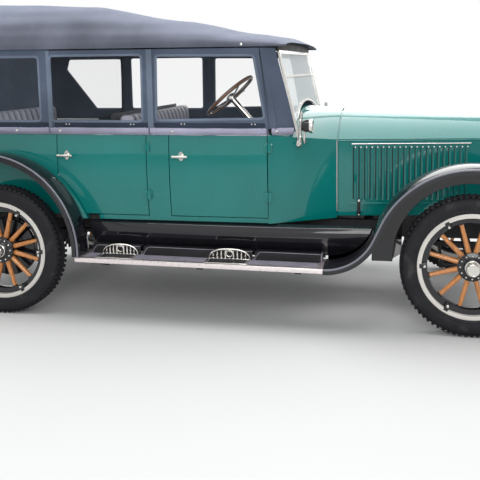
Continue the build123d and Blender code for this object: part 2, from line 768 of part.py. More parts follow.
cowl_lamp_x = 1985.0
cowl_lamp_z = belt_z + 56.0
cowl_lamp_y = body_half - 64.0
lamp_arm_x = cowl_lamp_x - 22
lamp_arm_z = cowl_lamp_z - 98
cowl_lamp_r = 38.0
cowl_lamp = rod((cowl_lamp_x - 60, -cowl_lamp_y, cowl_lamp_z), (cowl_lamp_x + 22, -cowl_lamp_y, cowl_lamp_z),
                cowl_lamp_r)
cowl_lamp += rod((cowl_lamp_x + 14, -cowl_lamp_y, cowl_lamp_z), (cowl_lamp_x + 30, -cowl_lamp_y, cowl_lamp_z),
                 cowl_lamp_r + 5)
cowl_lamp += rod((lamp_arm_x, -cowl_lamp_y, cowl_lamp_z - 20), (lamp_arm_x, -cowl_lamp_y, lamp_arm_z - 10), 9)
cowl_lamp += rod((lamp_arm_x, -cowl_lamp_y, lamp_arm_z),
                 (lamp_arm_x, -cowl_half_at(lamp_arm_x - 7) - seat, lamp_arm_z), 7)
node("lamps", *both_sides([headlamp()]), *both_sides([cowl_lamp]))


# Fenders: a crowned sheet carried along its side outline
def crowned(inner, outer, inner_n, crown_n, outer_n, lip_n):
    """Section in Y and height above the path line, fender_t thick, its outer edge turned down."""
    crown_y = outer - 0.42 * (outer - inner)
    top = [(-outer, lip_n), (-outer, outer_n), (-crown_y, crown_n, "arc"), (-inner, inner_n)]
    under = [(-inner, inner_n - fender_t), (-crown_y, crown_n - fender_t, "arc"),
             (-outer + fender_t, outer_n - fender_t), (-outer + fender_t, lip_n)]
    return top + under


def carried(points, path):
    """Sweep a section in Y and normal height along a path in the XZ plane."""
    start = path @ 0
    along = path % 0
    up = Vector(along.Z, 0, -along.X)
    if up.Z < 0:
        up = up * -1
    face = face_of(points, lambda y, n: start + Vector(0, y, 0) + up * n)
    return sweep(face, path)


# The front fender leaves its circle, falls straight and blends into the running board
leave = on_circle(wheelbase, axle_z, front_fender_r, front_fender_leave)
fender_fall = math.radians(front_fender_leave)
fall_slope = math.sin(fender_fall) / -math.cos(fender_fall)
corner_gone = leave[0] - (leave[1] - board_top_front) * fall_slope
blend_turn = math.radians(front_fender_leave - 90)
blend = 0.98 * (corner_gone - board_front) / math.tan(blend_turn / 2)
blend_x = corner_gone - blend * math.tan(blend_turn / 2)


def on_blend(turned, lift):
    """Point on the blend at a turn from its foot, lifted above the path line."""
    r = blend - lift
    return blend_x + r * math.sin(turned), board_top_front + blend - r * math.cos(turned)


def on_front_arch(r, degrees):
    return on_circle(wheelbase, axle_z, r, degrees)


# Behind the wheel an inner plate and a shield to the frame keep the mud off, clear of the steered tyre
shield_in = 5.0
shield_t = 4.0
shield_foot = 396.0
tyre_sweep_r = math.hypot(tyre_r, track / 2 - kingpin_y + tyre_w / 2)
shield_r = tyre_sweep_r + 8.0
shield_start = 48.0
shield_end = 180 + math.degrees(math.asin((axle_z - shield_foot) / shield_r))
shield_tail = math.radians(57.0)


def inner_plate():
    outer = front_fender_r + shield_in
    points = [on_front_arch(outer, shield_start),
              on_front_arch(outer, (shield_start + front_fender_leave) / 2) + ("arc",),
              on_front_arch(outer, front_fender_leave), on_blend(blend_turn, shield_in),
              on_blend((blend_turn + shield_tail) / 2, shield_in) + ("arc",), on_blend(shield_tail, shield_in),
              (on_blend(shield_tail, shield_in)[0], shield_foot), on_front_arch(shield_r, shield_end),
              on_front_arch(shield_r, (shield_end + shield_start) / 2) + ("arc",),
              on_front_arch(shield_r, shield_start)]
    return prism_y(points, -front_fender_in - shield_t, -front_fender_in)


def mud_shield():
    """Plan runs inward in two straights, from the inner plate to the frame rail."""
    rear = wheelbase - shield_r - shield_t
    rows = [(rear, -front_fender_in - shield_t), (rear + 6, -front_fender_in + 72),
            (rear + 56, -rail_y - rail_w / 2 - seat)]
    plan = [(x - shield_t, y) for x, y in rows] + [(x, y) for x, y in reversed(rows)]
    return prism_z(plan, shield_foot, rail_top)


def front_fender():
    tip = on_circle(wheelbase, axle_z, front_fender_r, front_fender_tip)
    top = on_circle(wheelbase, axle_z, front_fender_r, (front_fender_leave + front_fender_tip) / 2)
    tail = FilletPolyline((leave[0], 0, leave[1]), (corner_gone, 0, board_top_front),
                          (board_front, 0, board_top_front), radius=blend)
    arc = Edge.make_three_point_arc(Vector(tip[0], 0, tip[1]), Vector(top[0], 0, top[1]),
                                    Vector(leave[0], 0, leave[1]))
    path = Wire([arc] + tail.edges())
    section = crowned(front_fender_in, fender_out, 8, front_fender_crown, 0, -front_fender_lip)
    return carried(section, path) + inner_plate() + mud_shield()


node("front_fenders", *both_sides([front_fender()]))


def rear_fender():
    a, b, c = [on_circle(rear_fender_x, rear_fender_z, rear_fender_r, d) for d in (174, 84, -3)]
    path = Wire([Edge.make_three_point_arc(*[Vector(p[0], 0, p[1]) for p in (a, b, c)])])
    section = crowned(rear_fender_in + seat, fender_out, 0, 6, -rear_fender_edge, -rear_fender_lip)
    return carried(section, path)


node("rear_fenders", *both_sides([rear_fender()]))

# Running boards and the splash aprons above them
board = prism_y([(board_rear, board_top_rear), (board_front, board_top_front),
                 (board_front, board_top_front - board_t), (board_rear, board_top_rear - board_t)],
                -board_out, -apron_foot_y)
arm_rows = [750.0, 1350.0, 1950.0]
arm_out = rail_y + rail_w / 2 + seat


def board_top_at(x):
    share = (board_front - x) / (board_front - board_rear)
    return board_top_front + (board_top_rear - board_top_front) * share


for x in arm_rows:
    under = board_top_at(x) - board_t
    board += box(x - 20, x + 20, -board_out + 24, -arm_out, under - 14, under + 3)
    board += box(x - 20, x + 20, -arm_out - 12, -arm_out, under - 14, rail_top - 30)
node("running_boards", *both_sides([board]))
apron_points = [(-apron_top_y + 26, apron_top_z), (-apron_top_y - 2, apron_top_z - 12),
                (-apron_top_y + 6, apron_top_z - 60, "arc"), (-apron_foot_y, board_top_rear + seat),
                (-apron_foot_y + apron_t, board_top_rear + seat),
                (-apron_top_y + 6 + apron_t, apron_top_z - 60, "arc"),
                (-apron_top_y - 2 + apron_t, apron_top_z - 12 - 2), (-apron_top_y + 26, apron_top_z - apron_t)]
apron_front = leave[0] - 40
apron = prism_x(apron_points, board_rear + 30, apron_front)
off = front_fender_crown + 8
apron = apron & prism_y([(board_rear, board_top_rear - 100), (board_front - 10, board_top_rear - 100),
                         (board_front - 10, board_top_front + off), on_blend(0, off),
                         on_blend(blend_turn / 2, off) + ("arc",), on_blend(blend_turn, off),
                         (leave[0] + off * math.cos(fender_fall), leave[1] + off * math.sin(fender_fall)),
                         (board_rear, leave[1] + off)], -fender_out, 0)
node("splash_aprons", *both_sides([apron]))

# Step plates: a kick grille standing on each board under each door
grille_rows = [
    # x from, x to
    (686.0, 912.0),
    (1380.0, 1634.0),
]
grille_y = -apron_top_y + 6.0
grille_t = 8.0
plate_t = 5.0
bar_count = 11
hoop_rows = [
    # outer line, then inner line: inset and height of foot, side and bend, height of the crown
    (0, 0, 14, 44, 60, 70, 82),
    (14, 8, 26, 36, 64, 58, 68),
]


def hoop_line(x0, x1, z, foot, foot_z, side, side_z, bend, bend_z, crown_z):
    return [(x0 + foot, z + foot_z), (x0 + side, z + side_z, "arc"), (x0 + bend, z + bend_z),
            ((x0 + x1) / 2, z + crown_z, "arc"), (x1 - bend, z + bend_z), (x1 - side, z + side_z, "arc"),
            (x1 - foot, z + foot_z)]


def step_plate(x0, x1):
    z = board_top_at((x0 + x1) / 2) + 1.6
    hoop = prism_y(hoop_line(x0, x1, z, *hoop_rows[0]), grille_y - grille_t, grille_y)
    hoop -= prism_y(hoop_line(x0, x1, z, *hoop_rows[1]), grille_y - 2 * grille_t, grille_y + grille_t)
    for i in range(bar_count):
        x = x0 + 24 + (x1 - x0 - 48) * i / (bar_count - 1)
        bar_top = z + 34 + 30 * math.sin(math.pi * (i + 0.5) / bar_count)
        hoop += box(x - 4, x + 4, grille_y - grille_t + 1, grille_y - 1, z + 2, bar_top)
    return hoop + box(x0 - 6, x1 + 6, -fender_out + 36, grille_y + 6, z, z + plate_t)


grilles = [step_plate(x0, x1) for x0, x1 in grille_rows]
node("step_plates", *both_sides(grilles))

# Windscreen: built upright at the foot and leaned back
screen_turn = Location((screen_foot_x, 0, screen_foot_z), (0, -screen_slant, 0))
lean = math.cos(math.radians(screen_slant))
bar_s = (screen_bar_z - screen_foot_z) / lean
post_in = screen_y - screen_post / 2
post_out = screen_y + screen_post / 2
foot_edge = 98.0
foot_mid = 222.0
posts = box(-8, 8, -post_out, -post_in, 0, screen_height) + box(-8, 8, post_in, post_out, 0, screen_height)
posts += box(-8, 8, -post_out, post_out, screen_height - 20, screen_height)
posts += box(-7, 7, -post_in, post_in, bar_s - 6, bar_s + 6)
posts += prism_x([(-post_in, foot_edge), (0, foot_mid, "arc"), (post_in, foot_edge), (post_in, foot_edge + 16),
                  (0, foot_mid + 16, "arc"), (-post_in, foot_edge + 16)], -7, 7)
for side in (-1, 1):
    posts += rod((0, side * post_out, 0), (0, side * post_in, 0), 15)
node("windscreen_frame", posts.moved(screen_turn))
pane_y = post_in - seat
upper = box(-glass_t / 2, glass_t / 2, -pane_y, pane_y, bar_s + 6 + seat, screen_height - 20 - seat)
lower = prism_x([(-pane_y, foot_edge + 17), (0, foot_mid + 17, "arc"), (pane_y, foot_edge + 17),
                 (pane_y, bar_s - 6 - seat), (-pane_y, bar_s - 6 - seat)], -glass_t / 2, glass_t / 2)
node("windscreen_glass", upper.moved(screen_turn), lower.moved(screen_turn))

# Steering wheel and column
fall = math.radians(steer_fall)
steer_axis = Vector(math.cos(fall), 0, -math.sin(fall))
steer_hub = Vector(steer_hub_x, steer_y, steer_hub_z)
steer_plane = Plane(origin=steer_hub, z_dir=steer_axis)
ring = Solid.make_torus(steer_r - 13, 13, Plane(origin=steer_hub, z_dir=steer_axis))
ring += Solid.make_cylinder(34, 34, Plane(origin=steer_hub - steer_axis * 4, z_dir=steer_axis))
for i in range(4):
    turn = math.radians(45 + 90 * i)
    out = steer_plane.x_dir * math.cos(turn) + steer_plane.y_dir * math.sin(turn)
    ring += rod(tuple(steer_hub + steer_axis * 14 + out * 20), tuple(steer_hub + out * (steer_r - 13)), 8)
node("steering_wheel", ring)
column_start = steer_hub + steer_axis * (30 + seat)
column_foot = body_bottom + floor_t + column_r * math.cos(fall) + seat
column_len = (steer_hub_z - column_foot) / math.sin(fall) - 30 - seat
column_plane = Plane(origin=column_start, z_dir=steer_axis)
node("steering_column", Solid.make_cylinder(column_r, column_len, column_plane))


# Seats
def slab(points, half):
    return prism_y(points, -half, half)


front_back_x = front_seat_x - backrest_t
base_front = box(front_back_x - 16, front_seat_x + front_seat_depth - 30, -seat_half - 18, seat_half + 18,
                 body_bottom + floor_t + seat, cushion_bottom - seat)
base_front += slab([(front_back_x - 14, cushion_bottom - 60), (front_back_x - 46, backrest_top - 20),
                    (front_back_x - 22, backrest_top - 10), (front_back_x + 10, cushion_bottom - 60),
                    ], seat_half + 18)
base_rear = box(rear_seat_x - 60, rear_seat_x + rear_seat_depth - 30, -house_in + 6 + 2, house_in - 6 - 2,
                body_bottom + floor_t + seat, cushion_bottom - seat)
node("seat_frames", base_front, base_rear)


def cushions(x, depth, half, lean_back, base):
    cushion = slab([(x + 6, base), (x + depth, base), (x + depth, cushion_top - 30),
                    (x + depth - 24, cushion_top), (x + 6, cushion_top - 26)], half)
    back = slab([(x - backrest_t + 12, cushion_bottom), (x, cushion_bottom),
                 (x - lean_back, backrest_top - 16), (x - lean_back - 26, backrest_top),
                 (x - backrest_t - lean_back + 14, backrest_top - 14)], half)
    return cushion, back


node("front_cushions", *cushions(front_seat_x, front_seat_depth, seat_half, 30, cushion_bottom))
node("rear_cushions", *cushions(rear_seat_x, rear_seat_depth, house_in - 9, 34, cushion_bottom))


# Folding top: one hollow shell over bows
def roof_points(centre_z, edge_z, inset, foot):
    half = top_half - inset
    crown = centre_z - inset
    rise = centre_z - edge_z
    shoulder_y = half - top_corner
    shoulder_z = crown - 0.2 * rise
    knee_z = edge_z + 0.3 * rise - inset
    bend_y = half - 0.27 * top_corner
    bend_z = shoulder_z - 0.30 * (shoulder_z - knee_z)
    return [(-half, foot), (-half, knee_z), (-bend_y, bend_z, "arc"), (-shoulder_y, shoulder_z),
            (0, crown, "arc"), (shoulder_y, shoulder_z), (bend_y, bend_z, "arc"), (half, knee_z), (half, foot)]


def roof_wire(x, centre_z, edge_z, inset, foot):
    return face_of(roof_points(centre_z, edge_z, inset, foot), lambda y, z: Vector(x, y, z)).outer_wire()


roof_rises = [
    # x, height of the crown above the hem
    (-660.0, 263.0),
    (-349.0, 329.0),
    (492.0, 293.0),
    (1146.0, 180.0),
    (roof_front, 46.0),
]
roof_rows = [(x, hem_z + rise, hem_z) for x, rise in roof_rises]
above_roof = hem_z + 400.0


def roof_at(x):
    for (x0, c0, e0), (x1, c1, e1) in zip(roof_rows, roof_rows[1:]):
        if x0 <= x <= x1:
            t = (x - x0) / (x1 - x0)
            return c0 + t * (c1 - c0), e0 + t * (e1 - e0)


def roof_solid(inset, foot):
    """The roof's volume, drawn in from the outer surface on every side but the foot."""
    ends = (roof_rows[0][0] + min(inset, top_t), roof_rows[-1][0] - min(inset, top_t))
    rows = [(ends[0], *roof_at(ends[0]))] + roof_rows[1:-1] + [(ends[1], *roof_at(ends[1]))]
    return Solid.make_loft([roof_wire(x, c, e, inset, foot) for x, c, e in rows], True)


node("top_canopy", roof_solid(0, hem_z) - roof_solid(top_t, hem_z - 5))

# Bows under the fabric, with legs down to pivots on the belt
bow_w = 24.0
bow_t = 20.0
bow_rows = [
    # x of the bow, x of its pivot, corner of the section that its legs reach
    (-610.0, 120.0, 3),
    (492.0, 150.0, 2),
    (1146.0, 180.0, 2),
]
pivot_y = body_half - 50.0
leg_r = 9.0
bows = []
bow_skin = roof_solid(top_t + seat, hem_z + 10)
bow_hollow = roof_solid(top_t + seat + bow_t, hem_z - 10)
for x, pivot_x, corner in bow_rows:
    cut = box(x - bow_w / 2, x + bow_w / 2, -top_half, top_half, hem_z - 20, above_roof)
    hoop = (bow_skin & cut) - bow_hollow
    leg_top = roof_points(*roof_at(x), top_t + bow_t / 2, hem_z)[corner]
    for side in (-1, 1):
        hoop += rod((x, side * leg_top[0], leg_top[1]), (pivot_x, side * -pivot_y, belt_z + 12), leg_r)
    bows.append(hoop)
whole_bows = bows[0]
for hoop in bows[1:]:
    whole_bows += hoop
for side in (-1, 1):
    whole_bows += box(bow_rows[0][1] - 30, bow_rows[-1][1] + 30, side * pivot_y - 10, side * pivot_y + 10,
                      belt_z + seat, belt_z + 22)
header_x = roof_front - 76.0
header_foot = screen_foot_z + screen_height * lean + 8 * math.sin(math.radians(screen_slant)) + seat
header = bow_skin & box(header_x, header_x + bow_w, -top_half + 50, top_half - 50, hem_z + 15, above_roof)
header += box(header_x, header_x + bow_w, -top_half + 90, top_half - 90, header_foot, hem_z + 20)
node("top_bows", whole_bows, header)


# Side curtains: a framed sheet on each door, fixed ones behind and in front
def framed(points, hole, y0, y1):
    return prism_y(points, y0, y1) - prism_y(hole, y0 - 5, y1 + 5)


meet_x = 1010.0


def door_curtain(x0, x1, x1_top, door_x0, door_x1, hole):
    """Sheet that rests on its own door and clears the fixed panels beside the door."""
    low, high = belt_z + seat, belt_z + curtain_lift
    outer = [(x0, high), (door_x0, high), (door_x0, low), (door_x1, low), (door_x1, high), (x1, high),
             (x1_top, curtain_top), (x0, curtain_top)]
    return framed(outer, hole, -curtain_y - curtain_t / 2, -curtain_y + curtain_t / 2)


curtain_rear = door_curtain(354, meet_x - 2, meet_x - 2, rear_door_rear + 20, post_rear_x - door_gap - 10,
                            [(366, window_low), (962, window_low),
                              (966, window_high + 4), (362, window_high + 4)])
curtain_front = door_curtain(meet_x + 2, 1756, 1700, post_front_x + door_gap + 10, front_door_front - 10,
                             [(1052, window_low + 7), (1732, window_low + 19), (1668, window_high - 8),
                              (1058, window_high - 2)])
node("curtain_front_right", curtain_front)
node("curtain_front_left", curtain_front.mirror(Plane.XZ))
node("curtain_rear_right", curtain_rear)
node("curtain_rear_left", curtain_rear.mirror(Plane.XZ))

quarter_front = 350.0
quarter_r = corner_r - 8
quarter_back = corner_x - quarter_r
plan = [(quarter_front, -curtain_y - 3), (corner_x, -curtain_y - 3),
        (corner_x - (quarter_r + 3) * 0.7071, -corner_y - (quarter_r + 3) * 0.7071, "arc"),
        (quarter_back - 3, -corner_y), (quarter_back - 3, corner_y),
        (corner_x - (quarter_r + 3) * 0.7071, corner_y + (quarter_r + 3) * 0.7071, "arc"),
        (corner_x, curtain_y + 3), (quarter_front, curtain_y + 3),
        (quarter_front, curtain_y - 3), (corner_x, curtain_y - 3),
        (corner_x - (quarter_r - 3) * 0.7071, corner_y + (quarter_r - 3) * 0.7071, "arc"),
        (quarter_back + 3, corner_y), (quarter_back + 3, -corner_y),
        (corner_x - (quarter_r - 3) * 0.7071, -corner_y - (quarter_r - 3) * 0.7071, "arc"),
        (corner_x, -curtain_y + 3), (quarter_front, -curtain_y + 3)]
quarter = prism_z(plan, belt_z + seat, hem_z - seat)
quarter -= box(-250, quarter_front - 64, -top_half, 0, window_low, window_high)
quarter -= prism_y([(-165, window_high), (-190, quarter_slope_z), (60, window_low),
                    (quarter_front - 64, window_low),
                    (quarter_front - 64, window_high)], 0, top_half)
quarter -= box(quarter_back - 50, quarter_back + 50, -back_window_half, back_window_half,
               back_window_low, back_window_high)
# A fixed strip on each side runs in from the door's curtain to the windscreen post
strip_slope = 0.5
strip_rear = 1708.0
strip_foot = belt_z + 18


def behind_post(z):
    """X of the windscreen post's rear face at a height."""
    tilt = math.radians(screen_slant)
    return screen_foot_x - (z - screen_foot_z) * math.tan(tilt) - 8 / math.cos(tilt) - seat


strip_points = [(strip_rear + 62, strip_foot), (behind_post(strip_foot), strip_foot),
                (behind_post(curtain_top), curtain_top), (strip_rear, curtain_top)]
strip_face = face_of(strip_points, lambda x, z: Vector(x, -curtain_y - 3 + strip_slope * (x - strip_rear), z))
strip = Solid.extrude(strip_face, Vector(0, curtain_t, 0))
node("fixed_curtains", quarter, *both_sides([strip]))

# Number plate holders, each with two bolt holes
holder_w = 300.0
holder_h = 96.0
holder_pitch = 180.0
holder_hole_r = 4.0
front_holder_x = rail_front + 18
rear_holder_x = rail_rear - 60


def holder(x, y, z, t):
    plate = box(x, x + t, y - holder_w / 2, y + holder_w / 2, z - holder_h / 2, z + holder_h / 2)
    for side in (-1, 1):
        at = y + side * holder_pitch / 2
        plate -= rod((x - 20, at, z), (x + 20, at, z), holder_hole_r)
    return plate


front_holder = holder(front_holder_x, 0, rail_bottom + 25, 5)
for side in (-1, 1):
    front_holder += box(front_holder_x - 30, front_holder_x, side * 60 - 10, side * 60 + 10,
                        rail_bottom + 15, rail_bottom + 35)
front_bar = rod((rail_front - 12, -member_in + seat, rail_bottom + 22),
                (rail_front - 12, member_in - seat, rail_bottom + 22), 12)
rear_holder_y = 590.0
rear_holder_z = 660.0
rear_holder = holder(rear_holder_x, rear_holder_y, rear_holder_z, 5)
back_x = rear_holder_x + 5
tail_lamp_z = rear_holder_z + 110.0
tail_lamp_r = 38.0
rear_holder += box(back_x, back_x + 8, rear_holder_y - 12, rear_holder_y + 12,
                   rail_bottom + 30, tail_lamp_z + 20)
rear_holder += box(back_x, back_x + 8, rail_y - 12, rear_holder_y, rail_bottom + 30, rail_bottom + 60)
rear_holder += box(back_x, rail_rear - seat, rail_y - 12, rail_y + 12, rail_bottom + 30, rail_bottom + 60)
tail_lamp = rod((rear_holder_x - 34, rear_holder_y, tail_lamp_z),
                (rear_holder_x + 30, rear_holder_y, tail_lamp_z),
                tail_lamp_r)
node("plate_holders", front_holder + front_bar, rear_holder + tail_lamp)
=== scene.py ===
import json
import math

import bmesh
import bpy
from mathutils import Matrix, Vector, noise

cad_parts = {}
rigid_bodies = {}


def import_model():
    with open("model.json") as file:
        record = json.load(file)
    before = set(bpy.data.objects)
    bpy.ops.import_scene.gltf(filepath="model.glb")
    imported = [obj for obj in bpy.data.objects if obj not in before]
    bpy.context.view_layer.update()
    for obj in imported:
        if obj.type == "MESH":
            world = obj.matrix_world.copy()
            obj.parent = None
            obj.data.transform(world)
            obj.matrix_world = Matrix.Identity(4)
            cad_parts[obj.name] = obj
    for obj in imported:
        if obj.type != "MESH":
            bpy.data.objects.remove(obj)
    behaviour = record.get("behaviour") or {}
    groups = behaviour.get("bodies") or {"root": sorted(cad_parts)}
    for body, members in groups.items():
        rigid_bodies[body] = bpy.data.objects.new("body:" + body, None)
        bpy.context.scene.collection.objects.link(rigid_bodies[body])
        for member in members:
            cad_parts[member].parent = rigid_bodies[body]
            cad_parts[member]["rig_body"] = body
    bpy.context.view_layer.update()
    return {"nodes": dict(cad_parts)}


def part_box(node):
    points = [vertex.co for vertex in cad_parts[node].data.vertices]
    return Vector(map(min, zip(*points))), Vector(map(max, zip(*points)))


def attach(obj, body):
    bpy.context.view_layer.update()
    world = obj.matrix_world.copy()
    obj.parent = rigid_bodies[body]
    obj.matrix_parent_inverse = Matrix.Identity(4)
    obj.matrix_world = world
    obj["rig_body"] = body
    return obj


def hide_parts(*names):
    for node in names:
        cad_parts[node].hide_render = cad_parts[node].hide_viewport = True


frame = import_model()
print("frame loaded")

# Places are counted in metres from the ground under the rear axle, as on the maker's drawing
rearAxleX = sum(corner.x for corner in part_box("wheel_rear_right")) / 2
carShift = Matrix.Translation((rearAxleX, 0, 0))


# Material kit

def newMaterial(name, colour, roughness, metallic=0.0, coat=0.0):
    mat = bpy.data.materials.new(name)
    mat.use_nodes = True
    shader = mat.node_tree.nodes["Principled BSDF"]
    shader.inputs["Base Color"].default_value = (*colour, 1)
    shader.inputs["Roughness"].default_value = roughness
    shader.inputs["Metallic"].default_value = metallic
    shader.inputs["Coat Weight"].default_value = coat
    shader.inputs["Coat Roughness"].default_value = 0.04
    return mat, mat.node_tree, shader


def place(tree, scale=(1, 1, 1), turn=(0, 0, 0), source="Object"):
    coord = tree.nodes.new("ShaderNodeTexCoord")
    mapping = tree.nodes.new("ShaderNodeMapping")
    mapping.inputs["Scale"].default_value = scale
    mapping.inputs["Rotation"].default_value = turn
    tree.links.new(coord.outputs[source], mapping.inputs["Vector"])
    return mapping.outputs["Vector"]


def noiseAt(tree, where, scale, detail=3.0, roughness=0.5):
    tex = tree.nodes.new("ShaderNodeTexNoise")
    tex.inputs["Scale"].default_value = scale
    tex.inputs["Detail"].default_value = detail
    tex.inputs["Roughness"].default_value = roughness
    tree.links.new(where, tex.inputs["Vector"])
    return tex.outputs["Fac"]


def waveAt(tree, where, scale, direction="X", distortion=0.0):
    tex = tree.nodes.new("ShaderNodeTexWave")
    tex.bands_direction = direction
    tex.inputs["Scale"].default_value = scale
    tex.inputs["Distortion"].default_value = distortion
    tree.links.new(where, tex.inputs["Vector"])
    return tex.outputs["Fac"]


def cellsAt(tree, where, scale, feature="F1", output="Distance"):
    tex = tree.nodes.new("ShaderNodeTexVoronoi")
    tex.feature = feature
    tex.inputs["Scale"].default_value = scale
    tree.links.new(where, tex.inputs["Vector"])
    return tex.outputs[output]


def ramp(tree, factor, stops):
    node = tree.nodes.new("ShaderNodeValToRGB")
    while len(node.color_ramp.elements) < len(stops):
        node.color_ramp.elements.new(0.5)
    for element, (spot, colour) in zip(node.color_ramp.elements, stops):
        element.position = spot
        element.color = (*colour, 1) if hasattr(colour, "__len__") else (colour, colour, colour, 1)
    tree.links.new(factor, node.inputs["Fac"])
    return node.outputs["Color"]


def addUp(tree, first, second, share=1.0):
    node = tree.nodes.new("ShaderNodeMath")
    node.operation = "MULTIPLY_ADD"
    node.inputs[1].default_value = share
    tree.links.new(second, node.inputs[0])
    tree.links.new(first, node.inputs[2])
    return node.outputs[0]


def bumpOn(tree, shader, height, strength, distance):
    node = tree.nodes.new("ShaderNodeBump")
    node.inputs["Strength"].default_value = strength
    node.inputs["Distance"].default_value = distance
    tree.links.new(height, node.inputs["Height"])
    tree.links.new(node.outputs["Normal"], shader.inputs["Normal"])


def tint(tree, shader, factor, stops):
    tree.links.new(ramp(tree, factor, stops), shader.inputs["Base Color"])


def gloss(tree, shader, factor, low, high):
    tree.links.new(ramp(tree, factor, [(0.3, low), (0.7, high)]), shader.inputs["Roughness"])


def shade(colour, by):
    return tuple(channel * by for channel in colour)


# Joins two values, of which the second may be a plain number
def combined(tree, operation, first, second):
    node = tree.nodes.new("ShaderNodeMath")
    node.operation = operation
    tree.links.new(first, node.inputs[0])
    if isinstance(second, float):
        node.inputs[1].default_value = second
    else:
        tree.links.new(second, node.inputs[1])
    return node.outputs[0]


def blended(tree, share, first, second, output):
    mix = tree.nodes.new("ShaderNodeMixShader")
    tree.links.new(share, mix.inputs["Fac"])
    tree.links.new(first.outputs[0], mix.inputs[1])
    tree.links.new(second.outputs[0], mix.inputs[2])
    tree.links.new(mix.outputs[0], tree.nodes[output].inputs["Surface"])


# Enamels and metals

# Brushed and varnished coach enamel, whose gloss is in the varnish
def enamel(name, colour, roughness, wave, coat=1.0):
    mat, tree, shader = newMaterial(name, colour, roughness, 0.0, coat)
    shader.inputs["Specular IOR Level"].default_value = 0.1
    spots = place(tree)
    tint(tree, shader, noiseAt(tree, spots, 2.3), [(0.35, shade(colour, 0.93)), (0.65, shade(colour, 1.07))])
    gloss(tree, shader, noiseAt(tree, spots, 26, 4), roughness * 0.85, roughness * 1.25)
    bumpOn(tree, shader, noiseAt(tree, spots, 5.5, 2), wave, 0.004)
    return mat


def plating(name, colour, roughness):
    mat, tree, shader = newMaterial(name, colour, roughness, 1.0)
    spots = place(tree)
    tint(tree, shader, noiseAt(tree, spots, 40, 5), [(0.3, shade(colour, 0.88)), (0.7, colour)])
    gloss(tree, shader, noiseAt(tree, spots, 90, 4), roughness * 0.7, roughness * 1.5)
    bumpOn(tree, shader, noiseAt(tree, spots, 160, 3), 0.06, 0.0006)
    return mat


def roughIron(name, colour, roughness, grain=220):
    mat, tree, shader = newMaterial(name, colour, roughness, 0.0)
    shader.inputs["Specular IOR Level"].default_value = 0.25
    spots = place(tree)
    tint(tree, shader, noiseAt(tree, spots, 9, 5), [(0.3, shade(colour, 0.7)), (0.7, shade(colour, 1.4))])
    gloss(tree, shader, noiseAt(tree, spots, 30, 4), roughness * 0.8, min(1.0, roughness * 1.2))
    bumpOn(tree, shader, noiseAt(tree, spots, grain, 4), 0.25, 0.001)
    return mat


# Rubberised twill: fine diagonal threads, soft dust and slow cockles
def weave(name, colour, roughness, threads, sheen, strength):
    mat, tree, shader = newMaterial(name, colour, roughness)
    spots = place(tree)
    across = waveAt(tree, place(tree, turn=(0.6, 0.2, 0.9)), threads, "DIAGONAL", 0.4)
    both = addUp(tree, across, noiseAt(tree, spots, 900, 2), 0.5)
    cockle = addUp(tree, both, noiseAt(tree, spots, 7, 3), 1.6)
    tint(tree, shader, noiseAt(tree, spots, 3.4, 5),
         [(0.25, shade(colour, 0.72)), (0.5, colour), (0.8, shade(colour, 1.5))])
    gloss(tree, shader, noiseAt(tree, spots, 14, 4), roughness * 0.85, min(1.0, roughness * 1.15))
    shader.inputs["Specular IOR Level"].default_value = 0.18
    shader.inputs["Sheen Weight"].default_value = sheen
    shader.inputs["Sheen Roughness"].default_value = 0.45
    shader.inputs["Sheen Tint"].default_value = (0.72, 0.8, 1.0, 1)
    bumpOn(tree, shader, cockle, strength, 0.0016)
    return mat


# Polished leather with fine pores and dulled high spots; given a pitch, the seams between its pads get
# painted shade
def hide(name, colour, roughness, seamShadePitch=0.0):
    mat, tree, shader = newMaterial(name, colour, roughness, 0.0, 0.2)
    shader.inputs["Coat Roughness"].default_value = 0.35
    shader.inputs["Specular IOR Level"].default_value = 0.2
    spots = place(tree)
    pores = addUp(tree, cellsAt(tree, spots, 330), noiseAt(tree, spots, 60, 4), 0.7)
    if seamShadePitch:
        # Bands of the wave node are 2 pi / 20 wide at scale 1; the seams between pads are painted dark as
        # shade
        seamShade = waveAt(tree, spots, math.tau / 20 / seamShadePitch, "Y", 0.4)
        tint(tree, shader, seamShade, [(0.04, shade(colour, 0.1)), (0.2, shade(colour, 0.62)), (0.75, colour)])
    else:
        tint(tree, shader, noiseAt(tree, spots, 8, 5),
             [(0.3, shade(colour, 0.7)), (0.55, colour), (0.8, shade(colour, 1.55))])
    gloss(tree, shader, noiseAt(tree, spots, 21, 4), roughness * 0.8, roughness * 1.3)
    bumpOn(tree, shader, pores, 0.35, 0.0009)
    return mat


def timber(name, colour, dark, roughness, turn=(0, 0, 0), coat=0.8):
    mat, tree, shader = newMaterial(name, colour, roughness, 0.0, coat)
    grain = place(tree, (1, 1, 0.12), turn)
    lines = noiseAt(tree, grain, 130, 6, 0.6)
    tint(tree, shader, lines, [(0.3, dark), (0.5, colour), (0.75, shade(colour, 1.25))])
    gloss(tree, shader, noiseAt(tree, grain, 20), roughness * 0.85, roughness * 1.2)
    bumpOn(tree, shader, lines, 0.12, 0.0006)
    return mat


def rubber(name, colour, roughness):
    mat, tree, shader = newMaterial(name, colour, roughness)
    shader.inputs["Specular IOR Level"].default_value = 0.2
    spots = place(tree)
    tint(tree, shader, noiseAt(tree, spots, 12, 6),
         [(0.3, shade(colour, 0.75)), (0.6, colour), (0.85, (0.06, 0.055, 0.05))])
    gloss(tree, shader, noiseAt(tree, spots, 25, 4), roughness * 0.85, min(1.0, roughness * 1.15))
    bumpOn(tree, shader, noiseAt(tree, spots, 300, 3), 0.18, 0.0008)
    return mat


